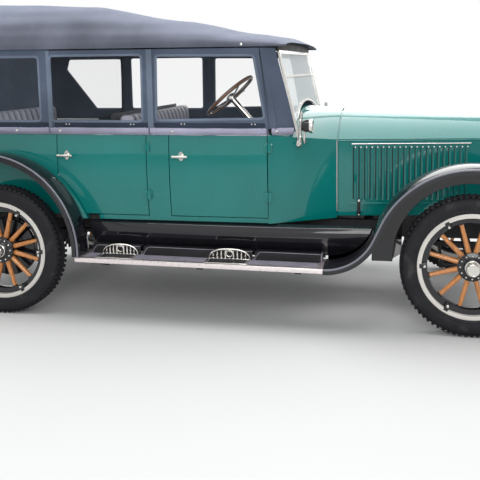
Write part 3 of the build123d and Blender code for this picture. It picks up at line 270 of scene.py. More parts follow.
# Clear pane that turns more solid where it is seen aslant
def clearSheet(name, colour, roughness, low, high, ripple):
    mat, tree, shader = newMaterial(name, colour, roughness)
    facing = tree.nodes.new("ShaderNodeLayerWeight")
    facing.inputs["Blend"].default_value = 0.35
    tree.links.new(ramp(tree, facing.outputs["Facing"], [(0.1, low), (0.95, high)]), shader.inputs["Alpha"])
    spots = place(tree)
    gloss(tree, shader, noiseAt(tree, spots, 9, 3), roughness * 0.8, roughness * 1.4)
    bumpOn(tree, shader, noiseAt(tree, spots, 4.5, 2), ripple, 0.01)
    return mat


# Brass honeycomb, dulled black, its cells let in by bump, with painted shade darkening the middle of each
# cell
def honeycomb(name, colour, roughness):
    mat, tree, shader = newMaterial(name, colour, roughness, 0.6)
    spots = place(tree)
    cells = cellsAt(tree, spots, 95)
    tint(tree, shader, cells, [(0.25, shade(colour, 0.25)), (0.55, shade(colour, 2.6))])
    gloss(tree, shader, noiseAt(tree, spots, 30), roughness * 0.8, roughness * 1.2)
    bumpOn(tree, shader, cells, 0.9, 0.003)
    return mat


paints = {
    "green": (0.0, 0.155, 0.14),
    "black": (0.008, 0.008, 0.011),
    # lighter grey for the fender beads: a painted highlight along them
    "wornEdge": (0.15, 0.15, 0.18),
    "cream": (0.6, 0.57, 0.53),
    "redLens": (0.35, 0.01, 0.012),
    "frameBlack": (0.016, 0.016, 0.018),
    "iron": (0.1, 0.1, 0.1),
    "nickel": (0.72, 0.7, 0.66),
    "edge": (0.86, 0.78, 0.78),
    "topCloth": (0.094, 0.1, 0.13),
    "curtainCloth": (0.07, 0.09, 0.13),
    "bindingCloth": (0.12, 0.15, 0.2),
    "flapCloth": (0.3, 0.29, 0.38),
    "bandCloth": (0.022, 0.03, 0.048),
    "carpet": (0.05, 0.045, 0.042),
    # the seat leather is given a pale lilac grey, lighter than the hide's own dark colour, as painted
    # reflection
    "leather": (0.56, 0.55, 0.64),
    "lining": (0.035, 0.035, 0.04),
    "hickory": (0.52, 0.2, 0.045),
    "hickoryDark": (0.3, 0.09, 0.015),
    "ash": (0.17, 0.1, 0.055),
    "ashDark": (0.09, 0.05, 0.025),
    "dashWood": (0.16, 0.075, 0.035),
    "dashWoodDark": (0.06, 0.025, 0.012),
    "rubber": (0.014, 0.014, 0.017),
    "mat": (0.24, 0.225, 0.27),
    "glass": (0.75, 0.82, 0.82),
    "celluloid": (0.2, 0.23, 0.27),
    "oldCelluloid": (0.2, 0.24, 0.31),
    "lens": (0.8, 0.84, 0.84),
    "core": (0.035, 0.03, 0.026),
}
finishes = {
    # finish: material slot, how it is made, material's name, then that way's own values
    "green": ("body_paint", enamel, "coachGreen", 0.3, 0.05),
    "black": ("black_enamel", enamel, "wingBlack", 0.2, 0.06, 0.9),
    "wornEdge": ("black_enamel", enamel, "wornEdge", 0.3, 0.05, 0.8),
    "cream": ("rim_silver", enamel, "rimCream", 0.35, 0.03, 0.3),
    "redLens": ("screen_glass", enamel, "redLens", 0.12, 0.02),
    "frameBlack": ("chassis_black", roughIron, "chassisBlack", 0.5),
    "iron": ("engine_iron", roughIron, "castIron", 0.6),
    "nickel": ("nickel", plating, "polishedNickel", 0.16),
    "edge": ("board_aluminium", plating, "boardEdging", 0.35),
    "topCloth": ("top_fabric", weave, "topTwill", 0.72, 420, 0.5, 0.35),
    "curtainCloth": ("curtain_fabric", weave, "curtainTwill", 0.62, 420, 0.35, 0.3),
    "bindingCloth": ("curtain_fabric", weave, "bindingTape", 0.6, 420, 0.35, 0.3),
    "flapCloth": ("curtain_fabric", weave, "flapLining", 0.7, 420, 0.4, 0.5),
    "bandCloth": ("curtain_fabric", weave, "windowBand", 0.7, 420, 0.1, 0.4),
    "carpet": ("floor_wood", weave, "floorCarpet", 0.95, 150, 0.1, 0.8),
    # the seat leather's last value is the pitch of the painted shade in its seams
    "leather": ("seat_leather", hide, "seatLeather", 0.42, 0.078),
    "lining": ("seat_leather", hide, "doorLining", 0.5),
    "hickory": ("spoke_wood", timber, "varnishedHickory", paints["hickoryDark"], 0.32),
    "ash": ("bow_wood", timber, "bowAsh", paints["ashDark"], 0.45, (0, 0, 0), 0.2),
    "dashWood": ("dash_wood", timber, "dashWalnut", paints["dashWoodDark"], 0.3, (0, 1.57, 0)),
    "rubber": ("tyre_rubber", rubber, "tyreRubber", 0.6),
    "mat": ("board_aluminium", rubber, "boardMat", 0.6),
    "glass": ("screen_glass", clearSheet, "plateGlass", 0.03, 0.1, 0.65, 0.02),
    "celluloid": ("screen_glass", clearSheet, "celluloid", 0.07, 0.03, 0.5, 0.35),
    "oldCelluloid": ("screen_glass", clearSheet, "oldCelluloid", 0.09, 0.08, 0.6, 1.0),
    "lens": ("screen_glass", clearSheet, "lampLens", 0.04, 0.12, 0.6, 0.1),
    "core": ("core_brass", honeycomb, "radiatorCore", 0.55),
}
slotOf, materials = {}, {}
for finish, (slot, make, name, *values) in finishes.items():
    slotOf[finish] = slot
    materials[finish] = make(name, paints[finish], *values)
print("materials made")


# Mesh kit

def smoothByAngle(mesh, degrees):
    bm = bmesh.new()
    bm.from_mesh(mesh)
    limit = math.radians(degrees)
    for face in bm.faces:
        face.smooth = True
    for edge in bm.edges:
        edge.smooth = len(edge.link_faces) == 2 and edge.calc_face_angle(0) < limit
    bm.to_mesh(mesh)
    bm.free()


def newObject(name, data):
    made = bpy.data.objects.new(name, data)
    bpy.context.scene.collection.objects.link(made)
    return made


# Turns a bmesh into a finished piece that rides on its body
def asPiece(bm, name, finish, body="root", stands=(), angle=40, shift=carShift):
    mesh = bpy.data.meshes.new(name)
    if shift is not None:
        bm.transform(shift)
    bm.to_mesh(mesh)
    bm.free()
    smoothByAngle(mesh, angle)
    piece = newObject(name, mesh)
    mesh.materials.append(materials[finish])
    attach(piece, body)
    if stands:
        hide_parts(*stands)
    return piece


def thickened(piece, thickness, offset=0):
    wall = piece.modifiers.new("thickness", "SOLIDIFY")
    wall.thickness = thickness
    wall.offset = offset


# A CAD piece's loose triangles, merged in a copy
def nodeCopy(nodeName):
    bm = bmesh.new()
    bm.from_mesh(frame["nodes"][nodeName].data)
    bmesh.ops.remove_doubles(bm, verts=bm.verts, dist=1e-5)
    return bm


def joinFlats(bm):
    bmesh.ops.dissolve_limit(bm, angle_limit=math.radians(0.5), verts=bm.verts, edges=bm.edges)


def cut(bm, spot, normal, near=1e-6, clear=False):
    bmesh.ops.bisect_plane(bm, geom=bm.verts[:] + bm.edges[:] + bm.faces[:], dist=near, plane_co=spot,
                           plane_no=normal, clear_outer=clear)


# A smooth copy of a CAD piece with its edges softened, cut off beyond trimAt to its own side if given
def dressed(nodeName, finish, bevel, trimAt=None):
    bm = nodeCopy(nodeName)
    if trimAt:
        side = math.copysign(1, sum(vert.co.y for vert in bm.verts))
        cut(bm, (0, side * trimAt, 0), (0, side, 0), clear=True)
        bmesh.ops.holes_fill(bm, edges=[edge for edge in bm.edges if edge.is_boundary])
    joinFlats(bm)
    body = frame["nodes"][nodeName]["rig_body"]
    piece = asPiece(bm, nodeName + ".skin", finish, body, [nodeName], 35, None)
    edges = piece.modifiers.new("edges", "BEVEL")
    edges.width = bevel
    edges.segments = 2
    edges.limit_method = "ANGLE"
    edges.angle_limit = math.radians(35)
    edges.harden_normals = False


def merge(bm, part, matrix=Matrix.Identity(4)):
    part.transform(matrix)
    mesh = bpy.data.meshes.new("passing")
    part.to_mesh(mesh)
    part.free()
    bm.from_mesh(mesh)
    bpy.data.meshes.remove(mesh)
    return bm


# A profile of (radius, height) pairs spun about Z; closed ones come back to their first pair
def turned(profile, steps=32, closed=False):
    bm = bmesh.new()
    verts = [bm.verts.new((radius, 0, height)) for radius, height in profile]
    for a, b in zip(verts, verts[1:]):
        bm.edges.new((a, b))
    if closed:
        bm.edges.new((verts[-1], verts[0]))
    bmesh.ops.spin(bm, geom=bm.verts[:] + bm.edges[:], cent=(0, 0, 0), axis=(0, 0, 1), angle=math.tau,
                   steps=steps, use_merge=True)
    bmesh.ops.remove_doubles(bm, verts=bm.verts, dist=1e-6)
    bmesh.ops.recalc_face_normals(bm, faces=bm.faces)
    return bm


def block(width, depth, height, bevel=0.0, segments=1):
    bm = bmesh.new()
    bmesh.ops.create_cube(bm, size=1.0)
    bmesh.ops.scale(bm, vec=(width, depth, height), verts=bm.verts)
    if bevel:
        bmesh.ops.bevel(bm, geom=bm.edges[:], offset=bevel, segments=segments, affect="EDGES", profile=0.5,
                        material=-1)
    return bm


def at(x, y, z):
    return Matrix.Translation((x, y, z))


sideways, lengthways = Vector((0, 1, 0)), Vector((1, 0, 0))
layBack = Matrix.Rotation(math.pi / 2, 4, "X")
layForward = Matrix.Rotation(math.pi / 2, 4, "Y")
layInward = Matrix.Rotation(-math.pi / 2, 4, "Y")


# Points a part that was built about Z away from the car's middle
def outward(side):
    return Matrix.Rotation(math.radians(-90 * side), 4, "X")


# Turns that set a number of parts round Z
def around(count, offset=0.0):
    return [Matrix.Rotation(math.tau * (i + offset) / count, 4, "Z") for i in range(count)]


# Wheels: built about Z with the outer face up, then laid over toward the car's right
wheel = {
    "radius": 0.418,
    "steps": 96,
    "spokes": 12,
    "spokeFlat": 0.86,
    "lugs": 6,
    "flangeBolts": 12,
    "treadBlocks": 76,
    "blockSize": (0.011, 0.0185, 0.034),
    "blockRise": 0.0075,
    "blockOut": 0.0365,
    "blockStagger": 0.25,
    "blockLean": 24,
    "blockSkew": 14,
    # radius, height above the wheel's middle plane; the halves are mirrored below it
    "tyreHalf": [(0.3025, 0.044), (0.313, 0.0495), (0.321, 0.0535), (0.326, 0.0562), (0.331, 0.0568),
                 (0.334, 0.0555), (0.342, 0.0576), (0.356, 0.0589), (0.371, 0.0584), (0.384, 0.0555),
                 (0.395, 0.0505), (0.404, 0.0435), (0.4085, 0.035), (0.4100, 0.024), (0.4100, 0.0205),
                 (0.4075, 0.019), (0.4075, 0.0155), (0.4150, 0.0145), (0.4165, 0.008), (0.4165, 0.0035),
                 (0.4120, 0.0025)],
    "rimHalf": [(0.2885, 0.0535), (0.2950, 0.0545), (0.3080, 0.0545), (0.3125, 0.0530), (0.3140, 0.0505),
                (0.3125, 0.0480), (0.3040, 0.0465), (0.3005, 0.0430)],
    "felloeHalf": [(0.2545, 0.019), (0.2580, 0.0245), (0.2840, 0.0270), (0.2884, 0.0270)],
    "hub": [(0.0, 0.052), (0.048, 0.052), (0.052, 0.047), (0.080, 0.0425), (0.0845, 0.040), (0.0850, 0.0365),
            (0.0820, 0.0200), (0.0820, -0.0200), (0.0850, -0.0365), (0.0800, -0.043), (0.0500, -0.045),
            (0.0, -0.045)],
    "drum": [(0.03, -0.046), (0.150, -0.0470), (0.1860, -0.0500), (0.1900, -0.0540), (0.1900, -0.0620),
             (0.1860, -0.0640), (0.1860, -0.0760), (0.1900, -0.0780), (0.1900, -0.0900), (0.1860, -0.0915),
             (0.03, -0.0915)],
    "hubCap": [(0.0, 0.1250), (0.012, 0.1250), (0.0130, 0.1235), (0.0290, 0.1235), (0.0305, 0.1250),
               (0.0365, 0.1215), (0.0395, 0.1150), (0.0400, 0.1060), (0.0420, 0.1045), (0.0420, 0.0990),
               (0.0400, 0.0975), (0.0400, 0.0660), (0.0435, 0.0640), (0.0440, 0.0500), (0.0, 0.0500)],
    # radius, distance along the part's own axis
    "spoke": [(0.0, 0.052), (0.0185, 0.053), (0.0195, 0.085), (0.0180, 0.110), (0.0168, 0.150),
              (0.0158, 0.200), (0.0150, 0.232), (0.0158, 0.246), (0.0150, 0.2555), (0.0, 0.2556)],
    "ferrule": [(0.0192, 0.0), (0.0192, 0.006), (0.0160, 0.008), (0.0, 0.008)],
    "flangeBolt": [(0.0058, 0.0), (0.0058, 0.0045), (0.0040, 0.0068), (0.0, 0.0074)],
    "lugNut": [(0.0090, 0.0), (0.0090, 0.0080), (0.0070, 0.0100), (0.0, 0.0100)],
    # block size, distance from the axle, height
    "lugClamps": [((0.046, 0.030, 0.012), 0.279, 0.0500), ((0.020, 0.024, 0.030), 0.2695, 0.0350)],
    # distance from the axle, height
    "ferruleAt": (0.2560, 0.0),
    "flangeBoltAt": (0.0690, 0.0430),
    "lugNutAt": (0.2700, 0.0555),
}


def mirroredRing(half):
    below = [(radius, -height) for radius, height in reversed(half)]
    return turned(half + below, wheel["steps"], closed=True)


def makeTyre():
    bm = mirroredRing(wheel["tyreHalf"])
    foot = wheel["radius"] - 2 * wheel["blockRise"]
    for side in (-1, 1):
        lean = Matrix.Rotation(math.radians(wheel["blockLean"] * side), 4, "Y")
        skew = Matrix.Rotation(math.radians(wheel["blockSkew"] * side), 4, "X")
        for turn in around(wheel["treadBlocks"], wheel["blockStagger"] * side):
            merge(bm, block(*wheel["blockSize"]), turn @ at(foot, 0, side * wheel["blockOut"]) @ lean @ skew)
    return bm


def makeRim():
    return mirroredRing(wheel["rimHalf"])


def makeSpokes():
    bm = bmesh.new()
    for turn in around(wheel["spokes"], 0.5):
        spoke = turned(wheel["spoke"], 14)
        bmesh.ops.scale(spoke, vec=(1.0, wheel["spokeFlat"], 1.0), verts=spoke.verts)
        merge(bm, spoke, turn @ layForward)
    return bm


def makeFelloe():
    bm = mirroredRing(wheel["felloeHalf"])
    merge(bm, turned(wheel["hub"], 40))
    for turn in around(wheel["lugs"]):
        for size, reach, height in wheel["lugClamps"]:
            merge(bm, block(*size, 0.003), turn @ at(reach, 0, height))
    reach, height = wheel["ferruleAt"]
    for turn in around(wheel["spokes"], 0.5):
        merge(bm, turned(wheel["ferrule"], 14), turn @ at(reach, 0, height) @ layInward)
    return bm


def makeFelloeWithDrum():
    return merge(makeFelloe(), turned(wheel["drum"], 64, closed=True))


def makeHubCap():
    bm = turned(wheel["hubCap"], 48)
    for part, count, steps in (("flangeBolt", wheel["flangeBolts"], 10), ("lugNut", wheel["lugs"], 6)):
        reach, height = wheel[part + "At"]
        for turn in around(count):
            merge(bm, turned(wheel[part], steps), turn @ at(reach, 0, height))
    return bm


def layWheelPart(bm, name, finish, body, stands, angle, placing):
    return asPiece(bm, name, finish, body, [stands], angle, carShift @ placing @ layBack)


def middleOf(nodeName):
    low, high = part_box(nodeName)
    x, y, z = (low + high) / 2
    return at(x - rearAxleX, y, z)


def makeWheels():
    for end in ("front", "rear"):
        for side in ("right", "left"):
            tag, body, node = f"{end}_{side}", f"{end}_{side}_wheel", f"wheel_{end}_{side}"
            placing = middleOf("tyre_" + tag)
            if side == "left":
                placing = placing @ Matrix.Rotation(math.pi, 4, "Z")
            felloe = makeFelloeWithDrum() if end == "rear" else makeFelloe()
            layWheelPart(makeTyre(), "tyre." + tag, "rubber", body, "tyre_" + tag, 38, placing)
            layWheelPart(makeRim(), "rim." + tag, "cream", body, node, 50, placing)
            layWheelPart(makeSpokes(), "spokes." + tag, "hickory", body, node, 45, placing)
            layWheelPart(felloe, "felloe." + tag, "black", body, node, 35, placing)
            layWheelPart(makeHubCap(), "hubCap." + tag, "nickel", body, node, 35, placing)
    placing = middleOf("spare_tyre") @ Matrix.Rotation(-math.pi / 2, 4, "Z")
    layWheelPart(makeTyre(), "tyre.spare", "rubber", "root", "spare_tyre", 38, placing)
    layWheelPart(makeRim(), "rim.spare", "cream", "root", "spare_rim", 50, placing)


makeWheels()
print("wheels made")


# Folding top: one sheet pulled over its bows
top = {
    # x, height of the crown
    "crown": [(-0.66, 1.990), (-0.349, 2.021), (0.05, 2.015), (0.492, 1.985), (1.146, 1.872), (1.60, 1.787),
              (1.80, 1.752), (1.865, 1.722)],
    "hem": 1.694,
    "half": 0.688,
    "frontHalf": 0.668,
    "taperFrom": 1.0,
    "rearX": -0.655,
    "frontX": 1.863,
    "tailStart": -0.36,
    "tailShare": 0.12,
    "sidePower": 2.7,
    "risePower": 2.2,
    "ease": 0.35,
    "bows": [-0.36, 0.492, 1.146, 1.79],
    # across the hoop's run, flat side to the cloth
    "bowSection": [(-0.013, -0.006), (0.013, -0.006), (0.015, 0.0), (0.013, 0.006), (-0.013, 0.006),
                   (-0.015, 0.0)],
    "bowInset": 0.024,
    "irons": [
        # x, distance from the middle, height
        [(0.15, 0.628, 1.178), (0.297, 0.628, 1.226), (0.305, 0.634, 1.662)],
        [(-0.36, 0.632, 1.706), (0.305, 0.632, 1.666), (0.80, 0.630, 1.676), (1.146, 0.628, 1.706)],
    ],
    "ironSection": (0.016, 0.020),
    # block size, place
    "ironFoot": ((0.12, 0.02, 0.022), (0.15, 0.63, 1.1715)),
    "header": ((0.018, 1.24, 0.06), (1.802, 0, 1.694)),
    "sag": 0.009,
    "pull": 0.0065,
    "crease": 0.011,
    "lip": 0.055,
    "lipOut": 0.004,
    "alongSteps": 84,
    "acrossSteps": 60,
    "thickness": 0.004,
    "rollSection": (0.011, 0.013),
    "fasteners": (1.60,),
    "fastenerSize": (0.0095, 0.009),
    "fastenerAt": (0.003, 0.009),  # out from the hem, up from it
}


# Height at x on a line through the table's points, eased a little between them
def along(table, x):
    for (x0, z0), (x1, z1) in zip(table, table[1:]):
        if x <= x1:
            t = max(0.0, (x - x0) / (x1 - x0))
            t = t * t * (3 - 2 * t) * top["ease"] + t * (1 - top["ease"])
            return z0 + t * (z1 - z0)
    return table[-1][1]


# Point of the top's skin: x along the car, angle from 0 at the right hem to 180 at the left
def topPoint(x, degrees, inset=0.0):
    tail = max(0.0, (top["tailStart"] - x) / (top["tailStart"] - top["rearX"]))
    shrinkSide = (1 - min(1.0, tail) ** top["sidePower"]) ** (1 / top["sidePower"])
    shrinkRise = (1 - min(1.0, tail) ** top["sidePower"]) ** (1 / top["risePower"])
    forward = max(0.0, x - top["taperFrom"])
    half = (top["half"] - (top["half"] - top["frontHalf"]) * forward - inset) * shrinkSide
    rise = (along(top["crown"], x) - top["hem"] - inset) * shrinkRise
    a = math.radians(degrees)
    y = -half * math.copysign(abs(math.cos(a)) ** (2 / top["sidePower"]), math.cos(a))
    return Vector((x, y, top["hem"] + rise * abs(math.sin(a)) ** (2 / top["risePower"])))


def topSkin(x, degrees):
    spot = topPoint(x, degrees)
    rise = math.sin(math.radians(degrees))
    bays = [(a, b) for a, b in zip(top["bows"], top["bows"][1:]) if a < x < b]
    sag = math.sin(math.pi * (x - bays[0][0]) / (bays[0][1] - bays[0][0])) if bays else 0.0
    side = abs(math.cos(math.radians(degrees)))
    pull = noise.noise(Vector((x * 0.9, spot.z * 11, spot.y * 2.2)))
    crease = noise.noise(Vector((x * 0.55 + 9, spot.z * 17, 3.1))) * side
    spot.z -= top["sag"] * sag * rise
    out = Vector((0, math.copysign(1, spot.y) * side, rise))
    spot += out * (top["pull"] * pull + top["crease"] * crease) * min(1.0, 4 * rise)
    lip = max(0.0, 1 - (spot.z - top["hem"]) / top["lip"])
    spot.y += math.copysign(top["lipOut"], spot.y) * math.sin(math.pi * lip) * side
    return spot


def makeTop():
    bm = bmesh.new()
    bmesh.ops.create_grid(bm, x_segments=top["alongSteps"], y_segments=top["acrossSteps"], size=1.0)
    length = top["frontX"] - top["rearX"]
    for vert in bm.verts:
        u = (vert.co.x + 1) / 2
        if u < top["tailShare"]:
            u = top["tailShare"] * (1 - math.cos(math.pi / 2 * u / top["tailShare"]))
        degrees = 90 * (vert.co.y + 1)
        vert.co = topSkin(top["rearX"] + length * u, degrees)
    bmesh.ops.remove_doubles(bm, verts=bm.verts, dist=1e-5)
    bmesh.ops.recalc_face_normals(bm, faces=bm.faces)
    piece = asPiece(bm, "topSheet", "topCloth", "root", ["top_canopy"], 60)
    thickened(piece, top["thickness"], -1)
    makeHemRoll()
    bm = bmesh.new()
    out, up = top["fastenerAt"]
    for side in (-1, 1):
        for x in top["fasteners"]:
            spot = at(x, side * (top["half"] + out), top["hem"] + up)
            merge(bm, stud(*top["fastenerSize"]), spot @ outward(side))
    asPiece(bm, "topFasteners", "nickel")


# Skins rings of vertices into a tube that closes on itself or is capped at both ends
def skin(bm, rings, closed=False):
    loops = [[bm.edges.new(pair) for pair in zip(ring, ring[1:] + ring[:1])] for ring in rings]
    if closed:
        loops.append(loops[0])
    for first, second in zip(loops, loops[1:]):
        bmesh.ops.bridge_loops(bm, edges=first + second)
    if not closed:
        bm.faces.new(rings[0])
        bm.faces.new(rings[-1])


# A round or flat rod carried along points; across is its own right at each point
def strip(points, section, upHint=Vector((0, 0, 1))):
    bm = bmesh.new()
    rings = []
    for i, point in enumerate(points):
        run = (points[min(i + 1, len(points) - 1)] - points[max(i - 1, 0)]).normalized()
        across = run.cross(upHint).normalized()
        up = across.cross(run)
        rings.append([bm.verts.new(point + across * a + up * b) for a, b in section])
    skin(bm, rings)
    bmesh.ops.recalc_face_normals(bm, faces=bm.faces)
    return bm


def roundSection(width, height, steps=12):
    return [(width / 2 * math.cos(math.tau * i / steps), height / 2 * math.sin(math.tau * i / steps))
            for i in range(steps)]


def makeHemRoll():
    front, tail = top["frontX"], top["tailStart"]
    points = [topSkin(front - (front - tail) * k / 60, 0) + Vector((0, 0.004, 0.004)) for k in range(61)]
    for k in range(1, 30):
        x = tail - (tail - top["rearX"]) * math.sin(math.pi / 2 * k / 30)
        points.append(topPoint(x, 0) + Vector((0.003, 0.003, 0.004)))
    middle = Vector((top["rearX"] + 0.003, 0, top["hem"] + 0.004))
    points = points + [middle] + [Vector((q.x, -q.y, q.z)) for q in reversed(points)]
    return asPiece(strip(points, roundSection(*top["rollSection"], 8)), "hemRoll", "topCloth")


def makeBows():
    hoops, irons = bmesh.new(), bmesh.new()
    for x in top["bows"][:-1]:
        points = [topPoint(x, degrees, top["bowInset"]) for degrees in range(6, 175, 4)]
        merge(hoops, strip(points, top["bowSection"], lengthways))
    for side in (-1, 1):
        for route in top["irons"]:
            spots = [Vector((x, side * y, z)) for x, y, z in route]
            steps = [a.lerp(b, k / 6) for a, b in zip(spots, spots[1:]) for k in range(6)] + [spots[-1]]
            merge(irons, strip(steps, roundSection(*top["ironSection"], 8), sideways))
        size, (x, y, z) = top["ironFoot"]
        merge(irons, block(*size, 0.004, 2), at(x, side * y, z))
    size, spot = top["header"]
    merge(irons, block(*size, 0.004, 2), at(*spot))
    asPiece(hoops, "bowHoops", "ash", "root", ["top_bows"])
    asPiece(irons, "bowIrons", "frameBlack", "root", ["top_bows"])


# Side curtains: sheets with celluloid panes sewn in, laid out flat in (run, height) and then put in place
curtain = {
    "plane": 0.668,
    "foot": 1.1615,
    "top": 1.684,
    "thickness": 0.0034,
    "ribbonThickness": 0.0016,
    "ribbonCell": 0.03,
    "ribbonRipple": 0.0008,
    "cell": 0.024,
    "ripple": 0.0022,
    "cornerRadius": 0.026,
    "tapeWidth": 0.016,
    "tapeRise": 0.0042,
    "stripFrom": (1.708, 0.671, 0.5),  # x, distance from the middle, slant inward
    "quarterFront": 0.350,
    "cornerX": -0.290,
    "cornerRadiusTub": 0.262,
    "backHalf": 0.410,
    "rolls": [(1.187, 0.020, 0.036), (1.1665, 0.010, 0.009)],  # height above ground, width, height
    "rollOut": 0.004,
    "rollSteps": 14,
    "rollCell": 0.008,
    "gatherReach": 0.075,
    "foldPitch": 210,
    "foldTwist": 3.2,
    "foldDepth": 0.17,
    "softness": 0.22,
    "bandZ": (1.209, 1.236),
    "bandOut": 0.004,
    "lapOut": 0.0052,
    "turnZ": 1.186,
    "turnRadius": 0.011,
    "turnOut": 0.021,
    "studRadius": 0.0058,
    "studOut": 0.0015,
    "studPitch": 0.021,
}
quarterTurn = curtain["cornerRadiusTub"] * math.pi / 2
sideRun = curtain["quarterFront"] - curtain["cornerX"]
quarterRun = 2 * (sideRun + quarterTurn + curtain["backHalf"])
panes = {
    # corners as (x, height) on the doors, (run round the tub, height) on the fixed curtain
    "rear": [(0.362, 1.243), (0.962, 1.243), (0.966, 1.652), (0.362, 1.652)],
    "front": [(1.052, 1.250), (1.732, 1.262), (1.668, 1.640), (1.058, 1.646)],
    "quarterRight": [(0.064, 1.243), (0.600, 1.243), (0.600, 1.648), (0.064, 1.648)],
    "back": [(quarterRun / 2 - 0.19, 1.32), (quarterRun / 2 + 0.19, 1.32), (quarterRun / 2 + 0.19, 1.56),
             (quarterRun / 2 - 0.19, 1.56)],
    "quarterLeft": [(quarterRun - 0.540, 1.560), (quarterRun - 0.290, 1.243), (quarterRun - 0.064, 1.243),
                    (quarterRun - 0.064, 1.648), (quarterRun - 0.515, 1.648)],
}


def roundedLoop(corners, radius, steps=4):
    loop = []
    for i, corner in enumerate(corners):
        here = Vector(corner)
        back = (Vector(corners[i - 1]) - here).normalized()
        ahead = (Vector(corners[(i + 1) % len(corners)]) - here).normalized()
        reach = radius / math.tan(back.angle(ahead) / 2)
        start, end = here + back * reach, here + ahead * reach
        for k in range(steps + 1):
            t = k / steps
            loop.append(start * (1 - t) ** 2 + here * 2 * t * (1 - t) + end * t * t)
    return loop


def insideLoop(loop, spot):
    turns = [(b - a).cross(spot - a) for a, b in zip(loop, loop[1:] + loop[:1])]
    return all(turn > 0 for turn in turns) or all(turn < 0 for turn in turns)


def doorLay(side):
    return lambda s, z, out: Vector((s, side * (curtain["plane"] + out), z))


# The fixed curtain runs along the right side, round the tail and back along the left
def quarterLay(s, z, out):
    side = 1.0 if s > quarterRun / 2 else -1.0
    run = min(s, quarterRun - s)
    radius = curtain["cornerRadiusTub"]
    if run < sideRun:
        return Vector((curtain["quarterFront"] - run, side * (curtain["plane"] + out), z))
    a = (run - sideRun) / radius
    middle = Vector((curtain["cornerX"], side * (curtain["plane"] - radius), z))
    if a < math.pi / 2:
        return middle + Vector((-math.sin(a), side * math.cos(a), 0)) * (radius + out)
    return middle + Vector((-radius - out, -side * (run - sideRun - quarterTurn), 0))


def stripLay(side):
    x, y, slant = curtain["stripFrom"]
    return lambda s, z, out: Vector((s, side * (y + out - slant * (s - x)), z))


# A flat ribbon between four (run, height) corners, stood off the sheet by out
def ribbon(name, finish, body, corners, lay, out):
    a, b, c, d = [Vector(corner) for corner in corners]
    bm = bmesh.new()
    cell = curtain["ribbonCell"]
    bmesh.ops.create_grid(bm, x_segments=max(4, round((b - a).length / cell)),
                          y_segments=max(1, round((d - a).length / cell)), size=0.5)
    for vert in bm.verts:
        u, v = vert.co.x + 0.5, vert.co.y + 0.5
        spot = a.lerp(b, u).lerp(d.lerp(c, u), v)
        slow = noise.noise(Vector((spot.x * 5, spot.y * 5, 2.0)))
        vert.co = lay(spot.x, spot.y, out + curtain["ribbonRipple"] * slow)
    bmesh.ops.recalc_face_normals(bm, faces=bm.faces)
    piece = asPiece(bm, name, finish, body, (), 60)
    thickened(piece, curtain["ribbonThickness"])
    return piece


def curtainPanel(name, span, heights, windows, lay, body, stands, cuts=(), sewnOn=(), pane="celluloid"):
    (s0, s1), (z0, z1) = span, heights
    cell = curtain["cell"]
    bm = bmesh.new()
    bmesh.ops.create_grid(bm, x_segments=round((s1 - s0) / cell), y_segments=round((z1 - z0) / cell),
                          size=0.5)
    for vert in bm.verts:
        vert.co = Vector((s0 + (vert.co.x + 0.5) * (s1 - s0), z0 + (vert.co.y + 0.5) * (z1 - z0), 0))
    for spot, away in cuts:
        cut(bm, (*spot, 0), (*away, 0), 0, True)
    loops = [roundedLoop(corners, curtain["cornerRadius"]) for corners in windows]
    for loop in loops:
        low = Vector((min(p.x for p in loop) - cell, min(p.y for p in loop) - cell))
        high = Vector((max(p.x for p in loop) + cell, max(p.y for p in loop) + cell))
        for a, b in zip(loop, loop[1:] + loop[:1]):
            near = [f for f in bm.faces if low.x < f.calc_center_median().x < high.x
                    and low.y < f.calc_center_median().y < high.y]
            geom = list({g for f in near for g in [f, *f.edges, *f.verts]})
            normal = Vector((b.y - a.y, a.x - b.x, 0))
            bmesh.ops.bisect_plane(bm, geom=geom, plane_co=(a.x, a.y, 0), plane_no=normal)
        for face in bm.faces:
            if insideLoop(loop, face.calc_center_median().xy):
                face.material_index = 1
    for vert in bm.verts:
        s, z = vert.co.x, vert.co.y
        slow = noise.noise(Vector((s * 3.1, z * 2.2, 4.0)))
        pull = noise.noise(Vector((s * 14 + z * 5, z * 2.5, 9.0)))
        vert.co = lay(s, z, curtain["ripple"] * (slow + 0.55 * pull))
    area = sum(face.calc_area() for face in bm.faces)
    bmesh.ops.recalc_face_normals(bm, faces=bm.faces)
    piece = asPiece(bm, name, "curtainCloth", body, stands, 60)
    piece.data.materials.append(materials[pane])
    thickened(piece, curtain["thickness"])
    sewnOn = list(sewnOn)
    if loops:
        tape = bmesh.new()
        for loop in loops:
            merge(tape, tapeAlong(loop, lay))
        sewnOn.append(asPiece(tape, name.replace("curtain", "binding"), "bindingCloth", body))


# Binding tape sewn round a window, raised on both faces of the sheet
def tapeAlong(loop, lay):
    half, rise = curtain["tapeWidth"] / 2, curtain["tapeRise"]
    section = [(-half, 0.0), (-half * 0.8, rise), (0.0, rise * 1.15), (half * 0.8, rise), (half, 0.0),
               (half * 0.8, -rise), (-half * 0.8, -rise)]
    bm = bmesh.new()
    rings = []
    for back, spot, ahead in zip(loop[-1:] + loop, loop, loop[1:] + loop[:1]):
        run = (ahead - back).normalized()
        spots = [(spot + Vector((run.y, -run.x)) * across, out) for across, out in section]
        rings.append([bm.verts.new(lay(q.x, q.y, out)) for q, out in spots])
    skin(bm, rings, closed=True)
    bmesh.ops.recalc_face_normals(bm, faces=bm.faces)
    return bm


